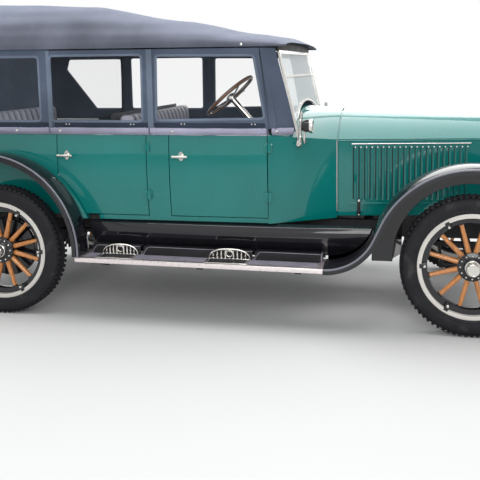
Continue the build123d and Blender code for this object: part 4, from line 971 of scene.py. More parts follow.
# Rolled flap under a window, over the curtain's hem: it gathers in slanting folds at its ends
def makeFlap(name, body, s0, s1, lay, gathers):
    steps = max(12, round((s1 - s0) / curtain["rollCell"]))
    angles = [math.tau * k / curtain["rollSteps"] for k in range(curtain["rollSteps"])]
    bm = bmesh.new()
    for z, width, height in curtain["rolls"]:
        rings = []
        for i in range(steps + 1):
            s = s0 + (s1 - s0) * i / steps
            near = max([0.0] + [1 - abs(s - g) / curtain["gatherReach"] for g in gathers])
            ring = []
            for a in angles:
                fold = math.sin(s * curtain["foldPitch"] + math.sin(a) * curtain["foldTwist"]) * near
                soft = noise.noise(Vector((s * 5, math.sin(a) * 1.3, z * 7)))
                swell = 1 + fold * curtain["foldDepth"] + soft * curtain["softness"]
                out = curtain["rollOut"] + width / 2 + width / 2 * math.cos(a) * swell
                ring.append(bm.verts.new(lay(s, z + height / 2 * math.sin(a) * swell, out)))
            rings.append(ring)
        skin(bm, rings)
    bmesh.ops.recalc_face_normals(bm, faces=bm.faces)
    return asPiece(bm, name, "flapCloth", body)


def stud(radius, height):
    profile = [(radius, 0.0), (radius, height * 0.35), (radius * 0.72, height * 0.85), (0.0, height)]
    return turned(profile, 12)


# Pairs of press studs above the flap, and turn buttons that hold it rolled
def makeStuds(name, body, lay, side, turns, pairs=(), pairZ=0.0):
    bm = bmesh.new()
    places = [(s + d, pairZ, curtain["studRadius"], curtain["studOut"])
              for s in pairs for d in (0.0, curtain["studPitch"])]
    places += [(s, curtain["turnZ"], curtain["turnRadius"], curtain["turnOut"]) for s in turns]
    for s, z, radius, out in places:
        merge(bm, stud(radius, radius * 0.8), at(*lay(s, z, out)) @ outward(side))
    asPiece(bm, name, "nickel", body)


doorCurtains = {
    # x along the car; studZ is a height; a cut is a point and the way that it cuts off, as (x, height)
    "rear": {
        "span": (0.354, 1.008),
        "flap": (0.357, 1.004),
        "bandFoot": (0.378, 1.0),
        "bandHead": (0.378, 1.0),
        "lap": (0.340, 0.362),
        "studs": (0.457, 0.884),
        "studZ": 1.226,
        "turn": 0.425,
        "cuts": [],
    },
    "front": {
        "span": (1.012, 1.756),
        "flap": (1.016, 1.744),
        "bandFoot": (1.036, 1.735),
        "bandHead": (1.036, 1.733),
        "lap": (0.998, 1.034),
        "studs": (1.211, 1.652),
        "studZ": 1.229,
        "turn": 1.161,
        "cuts": [((1.7555, 1.17), (0.514, 0.056))],
    },
}
stripCurtain = {
    # beside the windscreen, cut to its slant
    "span": (1.708, 1.908),
    "foot": 1.178,
    "flap": (1.772, 1.896),
    "lap": [(1.735, 1.20), (1.800, 1.20), (1.728, 1.684), (1.672, 1.684)],
    "lapY": 0.651,
    "turn": 1.800,
    "cuts": [((1.770, 1.178), (-0.506, -0.062)), ((1.908, 1.178), (0.506, 0.117))],
}
quarterCurtain = {
    "top": 1.6915,
    "inset": 0.004,
    "gathers": (0.01, 0.22, 0.6),
    "turn": 0.221,
}


def cornersOf(foot, low, head, high):
    return [(foot[0], low), (foot[1], low), (head[1], high), (head[0], high)]


def makeDoorCurtain(end, tag, side):
    row, lay, body, name = doorCurtains[end], doorLay(side), f"{end}_door_{tag}", f"{end}.{tag}"
    foot, head, band = curtain["foot"], curtain["top"], curtain["bandZ"]
    bandCorners = cornersOf(row["bandFoot"], band[0], row["bandHead"], band[1])
    lapCorners = cornersOf(row["lap"], foot, row["lap"], head)
    sewn = [makeFlap("flap." + name, body, *row["flap"], lay, row["flap"]),
            ribbon("band." + name, "bandCloth", body, bandCorners, lay, curtain["bandOut"]),
            ribbon("lap." + name, "bindingCloth", body, lapCorners, lay, curtain["lapOut"])]
    curtainPanel("curtain." + name, row["span"], (foot, head), [panes[end]], lay, body,
                 [f"curtain_{end}_{tag}"], row["cuts"], sewn)
    makeStuds("studs." + name, body, lay, side, [row["turn"]], row["studs"], row["studZ"])


def makeStripCurtain(tag, side):
    row, lay = stripCurtain, stripLay(side)
    sewn = [makeFlap("flap.strip." + tag, "root", *row["flap"], lay, row["flap"][:1]),
            ribbon("lap.strip." + tag, "curtainCloth", "root", row["lap"],
                   lambda s, z, out: Vector((s, side * (row["lapY"] + out), z)), 0.0)]
    curtainPanel("curtain.strip." + tag, row["span"], (row["foot"], curtain["top"]), [], lay, "root", [],
                 row["cuts"], sewn)
    makeStuds("studs.strip." + tag, "root", lay, side, [row["turn"]])


def makeQuarterCurtain():
    row, band = quarterCurtain, curtain["bandZ"]
    ends = (row["inset"], quarterRun - row["inset"])
    gathers = row["gathers"] + tuple(quarterRun - s for s in reversed(row["gathers"]))
    sewn = [makeFlap("flap.quarter", "root", *ends, quarterLay, gathers),
            ribbon("band.quarter", "bandCloth", "root", cornersOf(ends, band[0], ends, band[1]), quarterLay,
                   curtain["bandOut"])]
    curtainPanel("curtain.quarter", (0.0, quarterRun), (curtain["foot"], row["top"]),
                 [panes["quarterRight"], panes["back"], panes["quarterLeft"]], quarterLay, "root",
                 ["fixed_curtains"], (), sewn, "oldCelluloid")
    makeStuds("studs.quarter.right", "root", quarterLay, -1, [row["turn"]])
    makeStuds("studs.quarter.left", "root", quarterLay, 1, [quarterRun - row["turn"]])


def makeCurtains():
    for side, tag in ((-1, "right"), (1, "left")):
        makeDoorCurtain("rear", tag, side)
        makeDoorCurtain("front", tag, side)
        makeStripCurtain(tag, side)
    makeQuarterCurtain()


makeTop()
makeBows()
print("top made")
makeCurtains()
print("curtains made")


# Seats: pads blown up a little by cloth simulation, then pleated from front to back
seats = {
    "voxel": 0.0125,
    "roundness": 0.022,
    "pressure": 4.0,
    "frames": 20,
    "cap": 0.016,
    "pleatPitch": 0.078,
    "pleatDepth": 0.019,
    "pleatWidth": 0.0105,
    "border": 0.036,
    "edgeBlend": 0.012,
    "pads": [
        # name, node, middle's x and height, length, width and height, lean in degrees
        ("frontCushion", "front_cushions", (1.128, 0.889), (0.428, 1.160, 0.108), 2.4),
        ("frontBackrest", "front_cushions", (0.829, 1.064), (0.100, 1.160, 0.452), -3.5),
        ("rearCushion", "rear_cushions", (0.062, 0.889), (0.498, 1.150, 0.108), 2.2),
        ("rearBackrest", "rear_cushions", (-0.273, 1.064), (0.100, 1.150, 0.452), -4.0),
    ],
}


def meshAfterModifiers(piece):
    piece.data = bpy.data.meshes.new_from_object(piece.evaluated_get(bpy.context.evaluated_depsgraph_get()))
    piece.modifiers.clear()


def startPad(name, middle, size, lean):
    x, z = middle
    bm = block(*size, seats["roundness"], 4)
    bm.transform(carShift @ at(x, 0, z) @ Matrix.Rotation(math.radians(lean), 4, "Y"))
    mesh = bpy.data.meshes.new(name)
    bm.to_mesh(mesh)
    bm.free()
    pad = newObject(name, mesh)
    net = pad.modifiers.new("net", "REMESH")
    net.mode = "VOXEL"
    net.voxel_size = seats["voxel"]
    meshAfterModifiers(pad)
    return pad


def blowUp(pads):
    starts = [[vert.co.copy() for vert in pad.data.vertices] for pad in pads]
    for pad in pads:
        cloth = pad.modifiers.new("cloth", "CLOTH")
        cloth.settings.use_pressure = True
        cloth.settings.uniform_pressure_force = seats["pressure"]
        cloth.settings.effector_weights.gravity = 0.0
        cloth.point_cache.frame_end = seats["frames"]
    for number in range(1, seats["frames"] + 1):
        bpy.context.scene.frame_set(number)
    for pad, start in zip(pads, starts):
        meshAfterModifiers(pad)
        for vert, was in zip(pad.data.vertices, start):
            move = vert.co - was
            if move.length > seats["cap"]:
                vert.co = was + move.normalized() * seats["cap"]
    bpy.context.scene.frame_set(1)


# Channels run over the top of the pad; its ends and underside stay plain
def pleat(pad, width):
    pitch = seats["pleatPitch"]
    flat = width / 2 - seats["border"]
    normals = [Vector(n.vector) for n in pad.data.vertex_normals]
    for vert, normal in zip(pad.data.vertices, normals):
        inside = min(1.0, max(0.0, (flat - abs(vert.co.y)) / seats["edgeBlend"]))
        facing = min(1.0, max(0.0, 1.3 - 1.6 * abs(normal.y))) * min(1.0, max(0.0, 1.4 + 2.0 * normal.z))
        away = abs(vert.co.y / pitch - round(vert.co.y / pitch)) * pitch
        channel = math.exp(-(away / seats["pleatWidth"]) ** 2)
        vert.co -= normal * seats["pleatDepth"] * channel * inside * facing


def makeSeats():
    pads = [startPad(name, middle, size, lean) for name, _, middle, size, lean in seats["pads"]]
    blowUp(pads)
    for pad, (_, node, _, size, _) in zip(pads, seats["pads"]):
        finer = pad.modifiers.new("finer", "SUBSURF")
        finer.levels = finer.render_levels = 1
        meshAfterModifiers(pad)
        pleat(pad, size[1])
        smoothByAngle(pad.data, 80)
        pad.data.materials.clear()
        pad.data.materials.append(materials["leather"])
        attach(pad, "root")
        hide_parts(node)


makeSeats()
print("seats made")


# Steering wheel: walnut rim on a nickel spider, at the top of its column
steering = {
    "hub": (1.434, -0.330, 1.386),
    "tilt": math.radians(-41.2),
    "rimRadius": 0.182,
    "rimSection": (0.026, 0.0234),
    "arms": 4,
    "armReach": (0.024, 0.174),
    "armSection": (0.018, 0.009),
    "armDrop": 0.014,
    "levers": [(0.9, 0.105), (2.4, 0.0945)],  # turn in radians, length
    "leverSection": (0.006, 0.005),
    "leverFrom": (0.012, -0.036),
    "leverRise": 0.012,
    # radius, height
    "boss": [(0.0, 0.006), (0.020, 0.006), (0.030, 0.001), (0.034, -0.006), (0.034, -0.030), (0.0, -0.030)],
    "leverKnob": [(0.0, -0.007), (0.007, -0.004), (0.008, 0.002), (0.0, 0.008)],
}


def makeSteering():
    lay = carShift @ at(*steering["hub"]) @ Matrix.Rotation(steering["tilt"], 4, "Y")
    ring = [(steering["rimRadius"] + a, b) for a, b in roundSection(*steering["rimSection"], 14)]
    asPiece(turned(ring, 72, closed=True), "steeringRim", "dashWood", "steering_wheel", ["steering_wheel"],
            shift=lay)
    spider = turned(steering["boss"])
    start, end = steering["armReach"]
    for turn in around(steering["arms"], 0.5):
        points = [Vector((start + (end - start) * t, 0, steering["armDrop"] * (t * t - 1)))
                  for t in (i / 8 for i in range(9))]
        merge(spider, strip(points, roundSection(*steering["armSection"], 10)), turn)
    asPiece(spider, "steeringSpider", "nickel", "steering_wheel", ["steering_wheel"], shift=lay)
    levers = bmesh.new()
    x, z = steering["leverFrom"]
    for turn, length in steering["levers"]:
        spin = Matrix.Rotation(turn, 4, "Z")
        points = [Vector((x + length * t, 0, z + steering["leverRise"] * t)) for t in (0, 0.3, 0.7, 1)]
        merge(levers, strip(points, roundSection(*steering["leverSection"], 8)), spin)
        merge(levers, turned(steering["leverKnob"], 10), spin @ at(*points[-1]))
    asPiece(levers, "columnLevers", "nickel", shift=lay)
    dressed("steering_column", "nickel", 0.001)


makeSteering()
print("steering made")


# Windscreen frame, the posts at its foot and their bosses, caps and bolts
screen = {
    # x, height
    "post": [(1.944, 1.292), (1.941, 1.24), (1.937, 1.18), (1.933, 1.128), (1.932, 1.112)],
    "bossAt": (1.927, 1.106),
    "capAt": (1.944, 1.288),
    "boltsAt": [(1.938, 1.15), (1.938, 1.25)],
    "boltOut": 0.006,
    "postY": 0.607,
    "postSection": (0.022, 0.026),
    # radius, height
    "boss": [(0.0, -0.011), (0.013, -0.011), (0.0185, -0.006), (0.0185, 0.006), (0.013, 0.011),
             (0.0, 0.011)],
    "cap": [(0.0, 0.0), (0.010, 0.0), (0.010, 0.012), (0.0, 0.014)],
    "bolt": [(0.0, 0.0), (0.006, 0.0), (0.006, 0.010), (0.0, 0.012)],
}


def makeScreenFittings():
    dressed("windscreen_frame", "nickel", 0.002)
    bm = bmesh.new()
    for side in (-1, 1):
        y = side * screen["postY"]
        points = [Vector((x, y, z)) for x, z in screen["post"]]
        merge(bm, strip(points, roundSection(*screen["postSection"]), sideways))
        x, z = screen["bossAt"]
        merge(bm, turned(screen["boss"], 20), at(x, y, z) @ layBack)
        x, z = screen["capAt"]
        merge(bm, turned(screen["cap"], 14), at(x, y, z))
        for x, z in screen["boltsAt"]:
            merge(bm, turned(screen["bolt"], 10), at(x, y + side * screen["boltOut"], z) @ outward(side))
    asPiece(bm, "screenBrackets", "nickel")


makeScreenFittings()
print("windscreen fitted")


# Lamps: built about Z with the lens up, then turned to face forward
lamp = {
    "head": (3.215, 0.405, 0.905),
    "cowl": (1.985, 0.616, 1.216),
    "tail": (-0.734, 0.590, 0.770),
    "steps": {"head": (48, 40), "cowl": (32, 24)},
    # y, height of the stem's way from the lamp down to its foot
    "postX": 3.140,
    "post": [(0.405, 0.815), (0.405, 0.715), (0.399, 0.695), (0.375, 0.632)],
    "postSection": (0.032, 0.026),
    "footAt": (3.140, 0.375, 0.6055),
    "armX": 1.963,
    "arm": [(0.616, 1.182), (0.616, 1.138), (0.604, 1.118), (0.533, 1.118)],
    "armSection": (0.016, 0.016),
    # radius, height
    "foot": [(0.0, 0.0), (0.024, 0.0), (0.024, 0.012), (0.018, 0.026), (0.0, 0.034)],
    "headShell": [(0.0, -0.152), (0.018, -0.151), (0.050, -0.140), (0.082, -0.112), (0.103, -0.075),
                  (0.115, -0.038), (0.1205, 0.0), (0.1225, 0.003), (0.1225, 0.008), (0.118, 0.008),
                  (0.112, -0.020), (0.085, -0.080), (0.040, -0.120), (0.0, -0.126)],
    "headRim": [(0.1165, 0.010), (0.1165, 0.022), (0.1195, 0.0265), (0.1245, 0.0265), (0.1285, 0.0225),
                (0.1290, 0.012), (0.1265, 0.005), (0.1228, 0.004), (0.1228, 0.010)],
    "headBowl": [(0.0, -0.070), (0.030, -0.062), (0.075, -0.030), (0.105, 0.002), (0.1165, 0.010)],
    "headLens": [(0.0, 0.0335), (0.045, 0.0315), (0.090, 0.0255), (0.1168, 0.018)],
    "cowlShell": [(0.0, -0.040), (0.016, -0.039), (0.030, -0.032), (0.037, -0.018), (0.038, 0.012),
                  (0.036, 0.012), (0.030, -0.014), (0.0, -0.020)],
    "cowlRim": [(0.034, 0.014), (0.034, 0.026), (0.037, 0.030), (0.0425, 0.030), (0.0435, 0.022),
                (0.0425, 0.012), (0.0385, 0.012), (0.0385, 0.014)],
    "cowlBowl": [(0.0, -0.020), (0.018, -0.014), (0.030, 0.004), (0.034, 0.014)],
    "cowlLens": [(0.0, 0.032), (0.020, 0.030), (0.0345, 0.024)],
    "tailLens": [(0.0, 0.012), (0.015, 0.011), (0.028, 0.006), (0.031, 0.0)],
    "tailRim": [(0.030, -0.002), (0.030, 0.005), (0.034, 0.008), (0.038, 0.004), (0.039, -0.004),
                (0.036, -0.004)],
}


def lampStem(x, route, side, section, steps):
    return strip([Vector((x, side * y, z)) for y, z in route], roundSection(*section, steps), lengthways)


def makeLamps():
    shells, rims, lenses = bmesh.new(), bmesh.new(), bmesh.new()
    for side in (-1, 1):
        for kind, (steps, innerSteps) in lamp["steps"].items():
            x, y, z = lamp[kind]
            lay = at(x, side * y, z) @ layForward
            merge(shells, turned(lamp[kind + "Shell"], steps), lay)
            merge(rims, turned(lamp[kind + "Rim"], steps, closed=True), lay)
            merge(rims, turned(lamp[kind + "Bowl"], innerSteps), lay)
            merge(lenses, turned(lamp[kind + "Lens"], innerSteps), lay)
        merge(shells, lampStem(lamp["postX"], lamp["post"], side, lamp["postSection"], 14))
        x, y, z = lamp["footAt"]
        merge(shells, turned(lamp["foot"], 20), at(x, side * y, z))
        merge(rims, lampStem(lamp["armX"], lamp["arm"], side, lamp["armSection"], 12))
    asPiece(shells, "lampShells", "black", "root", ["lamps"])
    asPiece(rims, "lampRims", "nickel", "root", ["lamps"], 30)
    asPiece(lenses, "lampLenses", "lens", "root", ["lamps"], 60)
    lay = carShift @ at(*lamp["tail"]) @ layInward
    asPiece(turned(lamp["tailLens"], 28), "tailLens", "redLens", shift=lay)
    asPiece(turned(lamp["tailRim"], 28, closed=True), "tailRim", "nickel", shift=lay)


makeLamps()
print("lamps made")


# Doors: handles, hinges and lined inner faces
door = {
    "skinY": 0.6815,
    "handles": {"front": 1.206, "rear": 0.454},
    "handleZ": 1.031,
    "gripStandOff": 0.0335,
    "roseRadius": 0.019,
    "roseStretch": 0.55,
    "roseThickness": 0.004,
    "hinges": {"front": 1.7465, "rear": 0.9815},
    "hingeZ": (0.788, 1.088),
    # block size, then its place ahead of the pin and beyond the car's middle
    "doorLeaf": ((0.018, 0.0035, 0.052), -0.012, 0.6815),
    "bodyLeaf": ((0.0245, 0.006, 0.0545), 0.0195, 0.6785),
    "pinY": 0.6845,
    "cards": {"front": (1.16, 1.71), "rear": (0.60, 0.95)},
    "cardZ": (0.69, 1.13),
    "cardY": 0.6375,
    "cardThickness": 0.010,
    "pocketY": 0.6345,
    "pocketThickness": 0.014,
    "pocketHeight": 0.16,
    "pocketShare": 0.8,
    "pocketUp": 0.13,
    # radius, height
    "grip": [(0.0, -0.052), (0.0045, -0.0515), (0.0085, -0.047), (0.0075, -0.030), (0.0095, -0.010),
             (0.0100, 0.0), (0.0095, 0.010), (0.0075, 0.030), (0.0085, 0.047), (0.0045, 0.0515),
             (0.0, 0.052)],
    "stem": [(0.0, -0.002), (0.0085, -0.002), (0.0075, 0.010), (0.0100, 0.030), (0.0, 0.036)],
    "pin": [(0.0, -0.030), (0.003, -0.030), (0.005, -0.028), (0.005, 0.028), (0.003, 0.030), (0.0, 0.030)],
}


def doorHandle():
    bm = turned(door["grip"], 18)
    bm.transform(at(0, -door["gripStandOff"], 0) @ layForward)
    merge(bm, turned(door["stem"], 16), layBack)
    rose = bmesh.new()
    radius = door["roseRadius"]
    bmesh.ops.create_circle(rose, cap_ends=True, radius=radius, segments=28)
    for vert in rose.verts:
        vert.co.y *= 1.0 + door["roseStretch"] * max(0.0, abs(vert.co.y) / radius) ** 3
    bmesh.ops.solidify(rose, geom=rose.faces[:], thickness=door["roseThickness"])
    return merge(bm, rose, layBack)


def doorHinges(x, side, leaves):
    hinges = bmesh.new()
    for z in door["hingeZ"]:
        merge(hinges, turned(door["pin"], 14), at(x, side * door["pinY"], z))
        for target, (size, ahead, y) in ((hinges, door["doorLeaf"]), (leaves, door["bodyLeaf"])):
            merge(target, block(*size, 0.001, 2), at(x + ahead, side * y, z))
    return hinges


# The lined card inside a door, with its map pocket
def doorCard(x0, x1, side):
    z0, z1 = door["cardZ"]
    middle, length = (x0 + x1) / 2, x1 - x0
    card = block(length, door["cardThickness"], z1 - z0, 0.004, 2)
    card.transform(at(middle, side * door["cardY"], (z0 + z1) / 2))
    pocket = block(length * door["pocketShare"], door["pocketThickness"], door["pocketHeight"], 0.006, 3)
    return merge(card, pocket, at(middle, side * door["pocketY"], z0 + door["pocketUp"]))


def makeDoorFittings():
    leaves = bmesh.new()
    for side, tag in ((-1, "right"), (1, "left")):
        flip = Matrix.Scale(-side, 4, sideways)
        for end in ("front", "rear"):
            body = f"{end}_door_{tag}"
            handle = doorHandle()
            handle.transform(flip @ at(door["handles"][end], -door["skinY"], door["handleZ"]))
            handle.normal_update()
            bmesh.ops.recalc_face_normals(handle, faces=handle.faces)
            asPiece(handle, f"handle.{end}.{tag}", "nickel", body, (), 35)
            asPiece(doorHinges(door["hinges"][end], side, leaves), f"hinges.{end}.{tag}", "green", body)
            asPiece(doorCard(*door["cards"][end], side), f"card.{end}.{tag}", "lining", body)
    asPiece(leaves, "hingeLeaves", "green")


makeDoorFittings()
print("doors fitted")


# Running boards with their mats, edging, kick panels and step plates
board = {
    # x, height of the top at each end
    "rear": (0.556, 0.407),
    "front": (2.100, 0.392),
    "inner": 0.614,
    "outer": 0.8485,
    "matThickness": 0.004,
    "matRibs": 10,
    "matRib": (0.006, 0.003),
    "edgeWidth": 0.040,
    "edgeHeight": 0.029,
    "edgeThickness": 0.007,
    "kickPanels": [(0.610, 0.930), (0.950, 1.650), (1.665, 2.070)],
    "kickY": 0.698,
    "kickHeight": 0.056,
    "kickThickness": 0.005,
    "shelfThickness": 0.004,
    "kickLine": 0.0045,
    "plates": [(0.686, 0.912), (1.380, 1.634)],
    "plateOuter": 0.812,
    "plateInner": 0.708,
    "plateThickness": 0.004,
    "plateRise": 0.003,
    "plateFrame": (0.010, 0.009),
    "plateRibs": 16,
    "plateRib": (0.0032, 0.0022),
    "plateRibShort": 0.03,
    "frameOver": 0.012,
    "frameRise": 0.0015,
    "hoopHeight": 0.064,
    "hoopSection": (0.011, 0.013),
    "barCount": 10,
    "barGap": 0.020,
    # radius, share of the height
    "baluster": [(0.0, 0.0), (0.0080, 0.0), (0.0080, 0.1), (0.0052, 0.22), (0.0078, 0.48), (0.0036, 0.82),
                 (0.0050, 1.0), (0.0, 1.0)],
    "ringRadius": 0.020,
    "ringWire": 0.009,
    # height and foot of the two short bars over and under the ring
    "ringBars": [(0.024, 0.0), (0.014, 0.048)],
}
boardMiddle = (board["rear"][0] + board["front"][0]) / 2
slopeOfBoard = Matrix.Rotation(math.atan2(board["rear"][1] - board["front"][1],
                                          board["front"][0] - board["rear"][0]), 4, "Y")


def boardTop(x):
    share = (x - board["rear"][0]) / (board["front"][0] - board["rear"][0])
    return board["rear"][1] + (board["front"][1] - board["rear"][1]) * share


def hoopPoint(x0, x1, t):
    a = math.pi * t
    middle, half = (x0 + x1) / 2, (x1 - x0) / 2
    x = middle - half * math.copysign(abs(math.cos(a)) ** 0.8, math.cos(a))
    return x, board["hoopHeight"] * math.sin(a) ** 0.85


def makeStepPlate(nickel, dark, x0, x1, side):
    middle, length = (x0 + x1) / 2, x1 - x0
    outer, inner = side * board["plateOuter"], side * board["plateInner"]
    width, z = abs(outer - inner), boardTop(middle) + board["plateRise"]
    lay = at(middle, (outer + inner) / 2, z) @ slopeOfBoard
    merge(dark, block(length, width, board["plateThickness"], 0.0012, 2), lay)
    ribs = board["plateRibs"]
    for k in range(ribs):
        y = width * (k - (ribs - 1) / 2) / (ribs + 2)
        merge(dark, block(length - board["plateRibShort"], *board["plateRib"]), lay @ at(0, y, 0.003))
    wide, tall = board["plateFrame"]
    long, rise = length + board["frameOver"], board["frameRise"]
    for end in (-1, 1):
        merge(nickel, block(long, wide, tall, 0.002, 2), lay @ at(0, end * width / 2, rise))
        merge(nickel, block(wide, width, tall, 0.002, 2), lay @ at(end * length / 2, 0, rise))
    hoop = [hoopPoint(x0 - 0.002, x1 + 0.002, t / 28) for t in range(29)]
    points = [Vector((x, inner, z + h)) for x, h in hoop]
    merge(nickel, strip(points, roundSection(*board["hoopSection"], 10), sideways))
    for i in range(1, board["barCount"]):
        x = x0 + length * i / board["barCount"]
        if abs(x - middle) < board["barGap"]:
            continue
        t = math.acos(max(-1.0, min(1.0, (middle - x) / length * 2))) / math.pi
        height = hoopPoint(x0, x1, t)[1] - 0.002
        baluster = turned([(radius, height * share) for radius, share in board["baluster"]], 10)
        merge(nickel, baluster, at(x, inner, z))
    ring = [(board["ringRadius"] + a, b) for a, b in roundSection(board["ringWire"], board["ringWire"], 10)]
    merge(nickel, turned(ring, 28, closed=True), at(middle, inner, z + board["hoopHeight"] * 0.56) @ layBack)
    for height, foot in board["ringBars"]:
        bar = turned([(0.0, 0.0), (0.005, 0.0), (0.0035, height), (0.0, height)], 10)
        merge(nickel, bar, at(middle, inner, z + foot))


# Dark panels along the board's inner side, each with a shelf behind it and a pale line over its front
def makeKickPanels(mats, dark, lay, side):
    y, inner, height = board["kickY"], board["inner"], board["kickHeight"]
    thick, shelf, shelfY = board["kickThickness"], board["shelfThickness"], side * (y + inner) / 2
    for x0, x1 in board["kickPanels"]:
        x = (x0 + x1) / 2 - boardMiddle
        merge(dark, block(x1 - x0, thick, height, 0.001, 1), lay @ at(x, side * y, height / 2))
        merge(dark, block(x1 - x0, y - inner, shelf, 0.001, 1), lay @ at(x, shelfY, height - shelf / 2))
        line = [(x0, 0.004), (x0 + 0.010, 0.030), (x0 + 0.030, height - 0.004), (x0 + 0.045, height),
                (x1, height)]
        merge(mats, strip([Vector((x, side * (y + 0.003), boardTop(x) + h)) for x, h in line],
                          roundSection(board["kickLine"], board["kickLine"], 8), sideways))
    merge(mats, block(0.007, y - inner, height, 0.001, 1),
          lay @ at(board["kickPanels"][-1][1] + 0.004 - boardMiddle, shelfY, height / 2))


def makeBoards():
    dressed("running_boards", "frameBlack", 0.001)
    mats, edging, nickel, dark = bmesh.new(), bmesh.new(), bmesh.new(), bmesh.new()
    (x0, z0), (x1, z1) = board["rear"], board["front"]
    lay = at(boardMiddle, 0, (z0 + z1) / 2) @ slopeOfBoard
    length, span = x1 - x0, board["outer"] - board["inner"]
    wide, tall, thick = board["edgeWidth"], board["edgeHeight"], board["edgeThickness"]
    matLength, matWidth, lipZ = length - 2 * wide, span - wide, thick - tall / 2
    for side in (-1, 1):
        outer, inner = side * board["outer"], side * board["inner"]
        merge(mats, block(matLength, matWidth, board["matThickness"], 0.001, 1),
              lay @ at(0, (inner + outer - side * wide) / 2, 0.0015))
        for k in range(board["matRibs"] + 1):
            y = inner + side * (0.012 + (matWidth - 0.02) * k / board["matRibs"])
            merge(mats, block(matLength - 0.01, *board["matRib"]), lay @ at(0, y, board["matThickness"]))
        merge(edging, block(length, wide, thick, 0.0025, 3), lay @ at(0, outer - side * wide / 2, thick / 2))
        merge(edging, block(length, 0.006, tall, 0.0022, 3), lay @ at(0, outer - side * 0.003, lipZ))
        for end in (-1, 1):
            merge(edging, block(wide, span, thick, 0.0025, 3),
                  lay @ at(end * (length - wide) / 2, (outer + inner) / 2, thick / 2))
            merge(edging, block(0.005, span, tall, 0.002, 2),
                  lay @ at(end * (length / 2 - 0.0015), (outer + inner) / 2, lipZ))
        makeKickPanels(mats, dark, lay, side)
        for ends in board["plates"]:
            makeStepPlate(nickel, dark, *ends, side)
    asPiece(mats, "boardMats", "mat")
    asPiece(edging, "boardEdging", "edge", "root", ["running_boards"])
    asPiece(dark, "boardInserts", "frameBlack", "root", ["step_plates"])
    asPiece(nickel, "boardNickel", "nickel", "root", ["step_plates"])


# Splash aprons: the sheet is cut at these places, so that its upper half can be pushed out into a roll
apron = {
    "heights": [0.43, 0.45, 0.47, 0.49, 0.505, 0.52, 0.535, 0.55, 0.56, 0.57, 0.58, 0.59, 0.60, 0.608],
    "cutFrom": 0.62,
    "cutStep": 0.06,
    "cuts": 29,
    "bulge": 0.036,
    "peakX": 1.62,
    "peakZ": 0.556,
    "reachX": (1.05, 1.25),
    "rollZ": (0.45, 0.616),
    # Behind its front end a web closes the way down to the fender's sweep: x, height, radius
    "sweep": (2.1042, 0.7126, 0.331),
    "webY": 0.607,
    "webTop": 0.600,
    "webThickness": 0.003,
}


# Falls from 1 at no distance to 0 at the reach, level at its top
def hump(distance, reach):
    return math.cos(min(1.0, abs(distance) / reach) * math.pi / 2)


# Points of an arc in the side view, between two angles in degrees
def arc(circle, start, end, steps, y):
    x, z, radius = circle
    turns = [math.radians(start + (end - start) * k / steps) for k in range(steps + 1)]
    return [Vector((x + radius * math.cos(a), y, z + radius * math.sin(a))) for a in turns]


def makeAprons():
    bm = nodeCopy("splash_aprons")
    joinFlats(bm)
    for z in apron["heights"]:
        cut(bm, (0, 0, z), (0, 0, 1))
    for k in range(apron["cuts"]):
        cut(bm, (rearAxleX + apron["cutFrom"] + apron["cutStep"] * k, 0, 0), (1, 0, 0))
    low, high = apron["rollZ"]
    for vert in bm.verts:
        ahead, above = vert.co.x - rearAxleX - apron["peakX"], vert.co.z - apron["peakZ"]
        reach = apron["reachX"][0] if ahead < 0 else apron["reachX"][1]
        rise = high - apron["peakZ"] if above > 0 else apron["peakZ"] - low
        vert.co.y += math.copysign(apron["bulge"], vert.co.y) * hump(ahead, reach) * hump(above, rise)
    asPiece(bm, "aprons", "black", "root", ["splash_aprons"], 50, None)
    webs = bmesh.new()
    for side in (-1, 1):
        y = side * apron["webY"]
        line = arc(apron["sweep"], -90, -25, 12, y)
        line += [Vector((line[-1].x, y, apron["webTop"])), Vector((line[0].x, y, apron["webTop"]))]
        web = bmesh.new()
        face = web.faces.new([web.verts.new(point) for point in line])
        bmesh.ops.solidify(web, geom=[face], thickness=apron["webThickness"])
        bmesh.ops.recalc_face_normals(web, faces=web.faces)
        merge(webs, web)
    asPiece(webs, "apronWebs", "frameBlack")


makeBoards()
makeAprons()
print("boards and aprons made")


# Fenders with a rolled bead along the outer edge, the bead painted lighter grey as a highlight
fender = {
    "out": 0.8465,
    "bead": 0.013,
    # circle as x, height and radius, then the bead's first and last angle and its steps
    "frontBead": [((2.955, 0.418, 0.576), 33, 155, 48), ((2.1042, 0.7126, 0.3196), -25, -90, 24)],
    "rearBead": [((-0.030, 0.445, 0.605), -3, 174, 60)],
}


def makeFenders():
    dressed("front_fenders", "black", 0.0015)
    dressed("rear_fenders", "black", 0.0015)
    bm = bmesh.new()
    for side in (-1, 1):
        for route in (fender["frontBead"], fender["rearBead"]):
            points = [point for row in route for point in arc(*row, side * fender["out"])]
            merge(bm, strip(points, roundSection(fender["bead"], fender["bead"], 10), sideways))
    asPiece(bm, "fenderBeads", "wornEdge")


makeFenders()
print("fenders dressed")
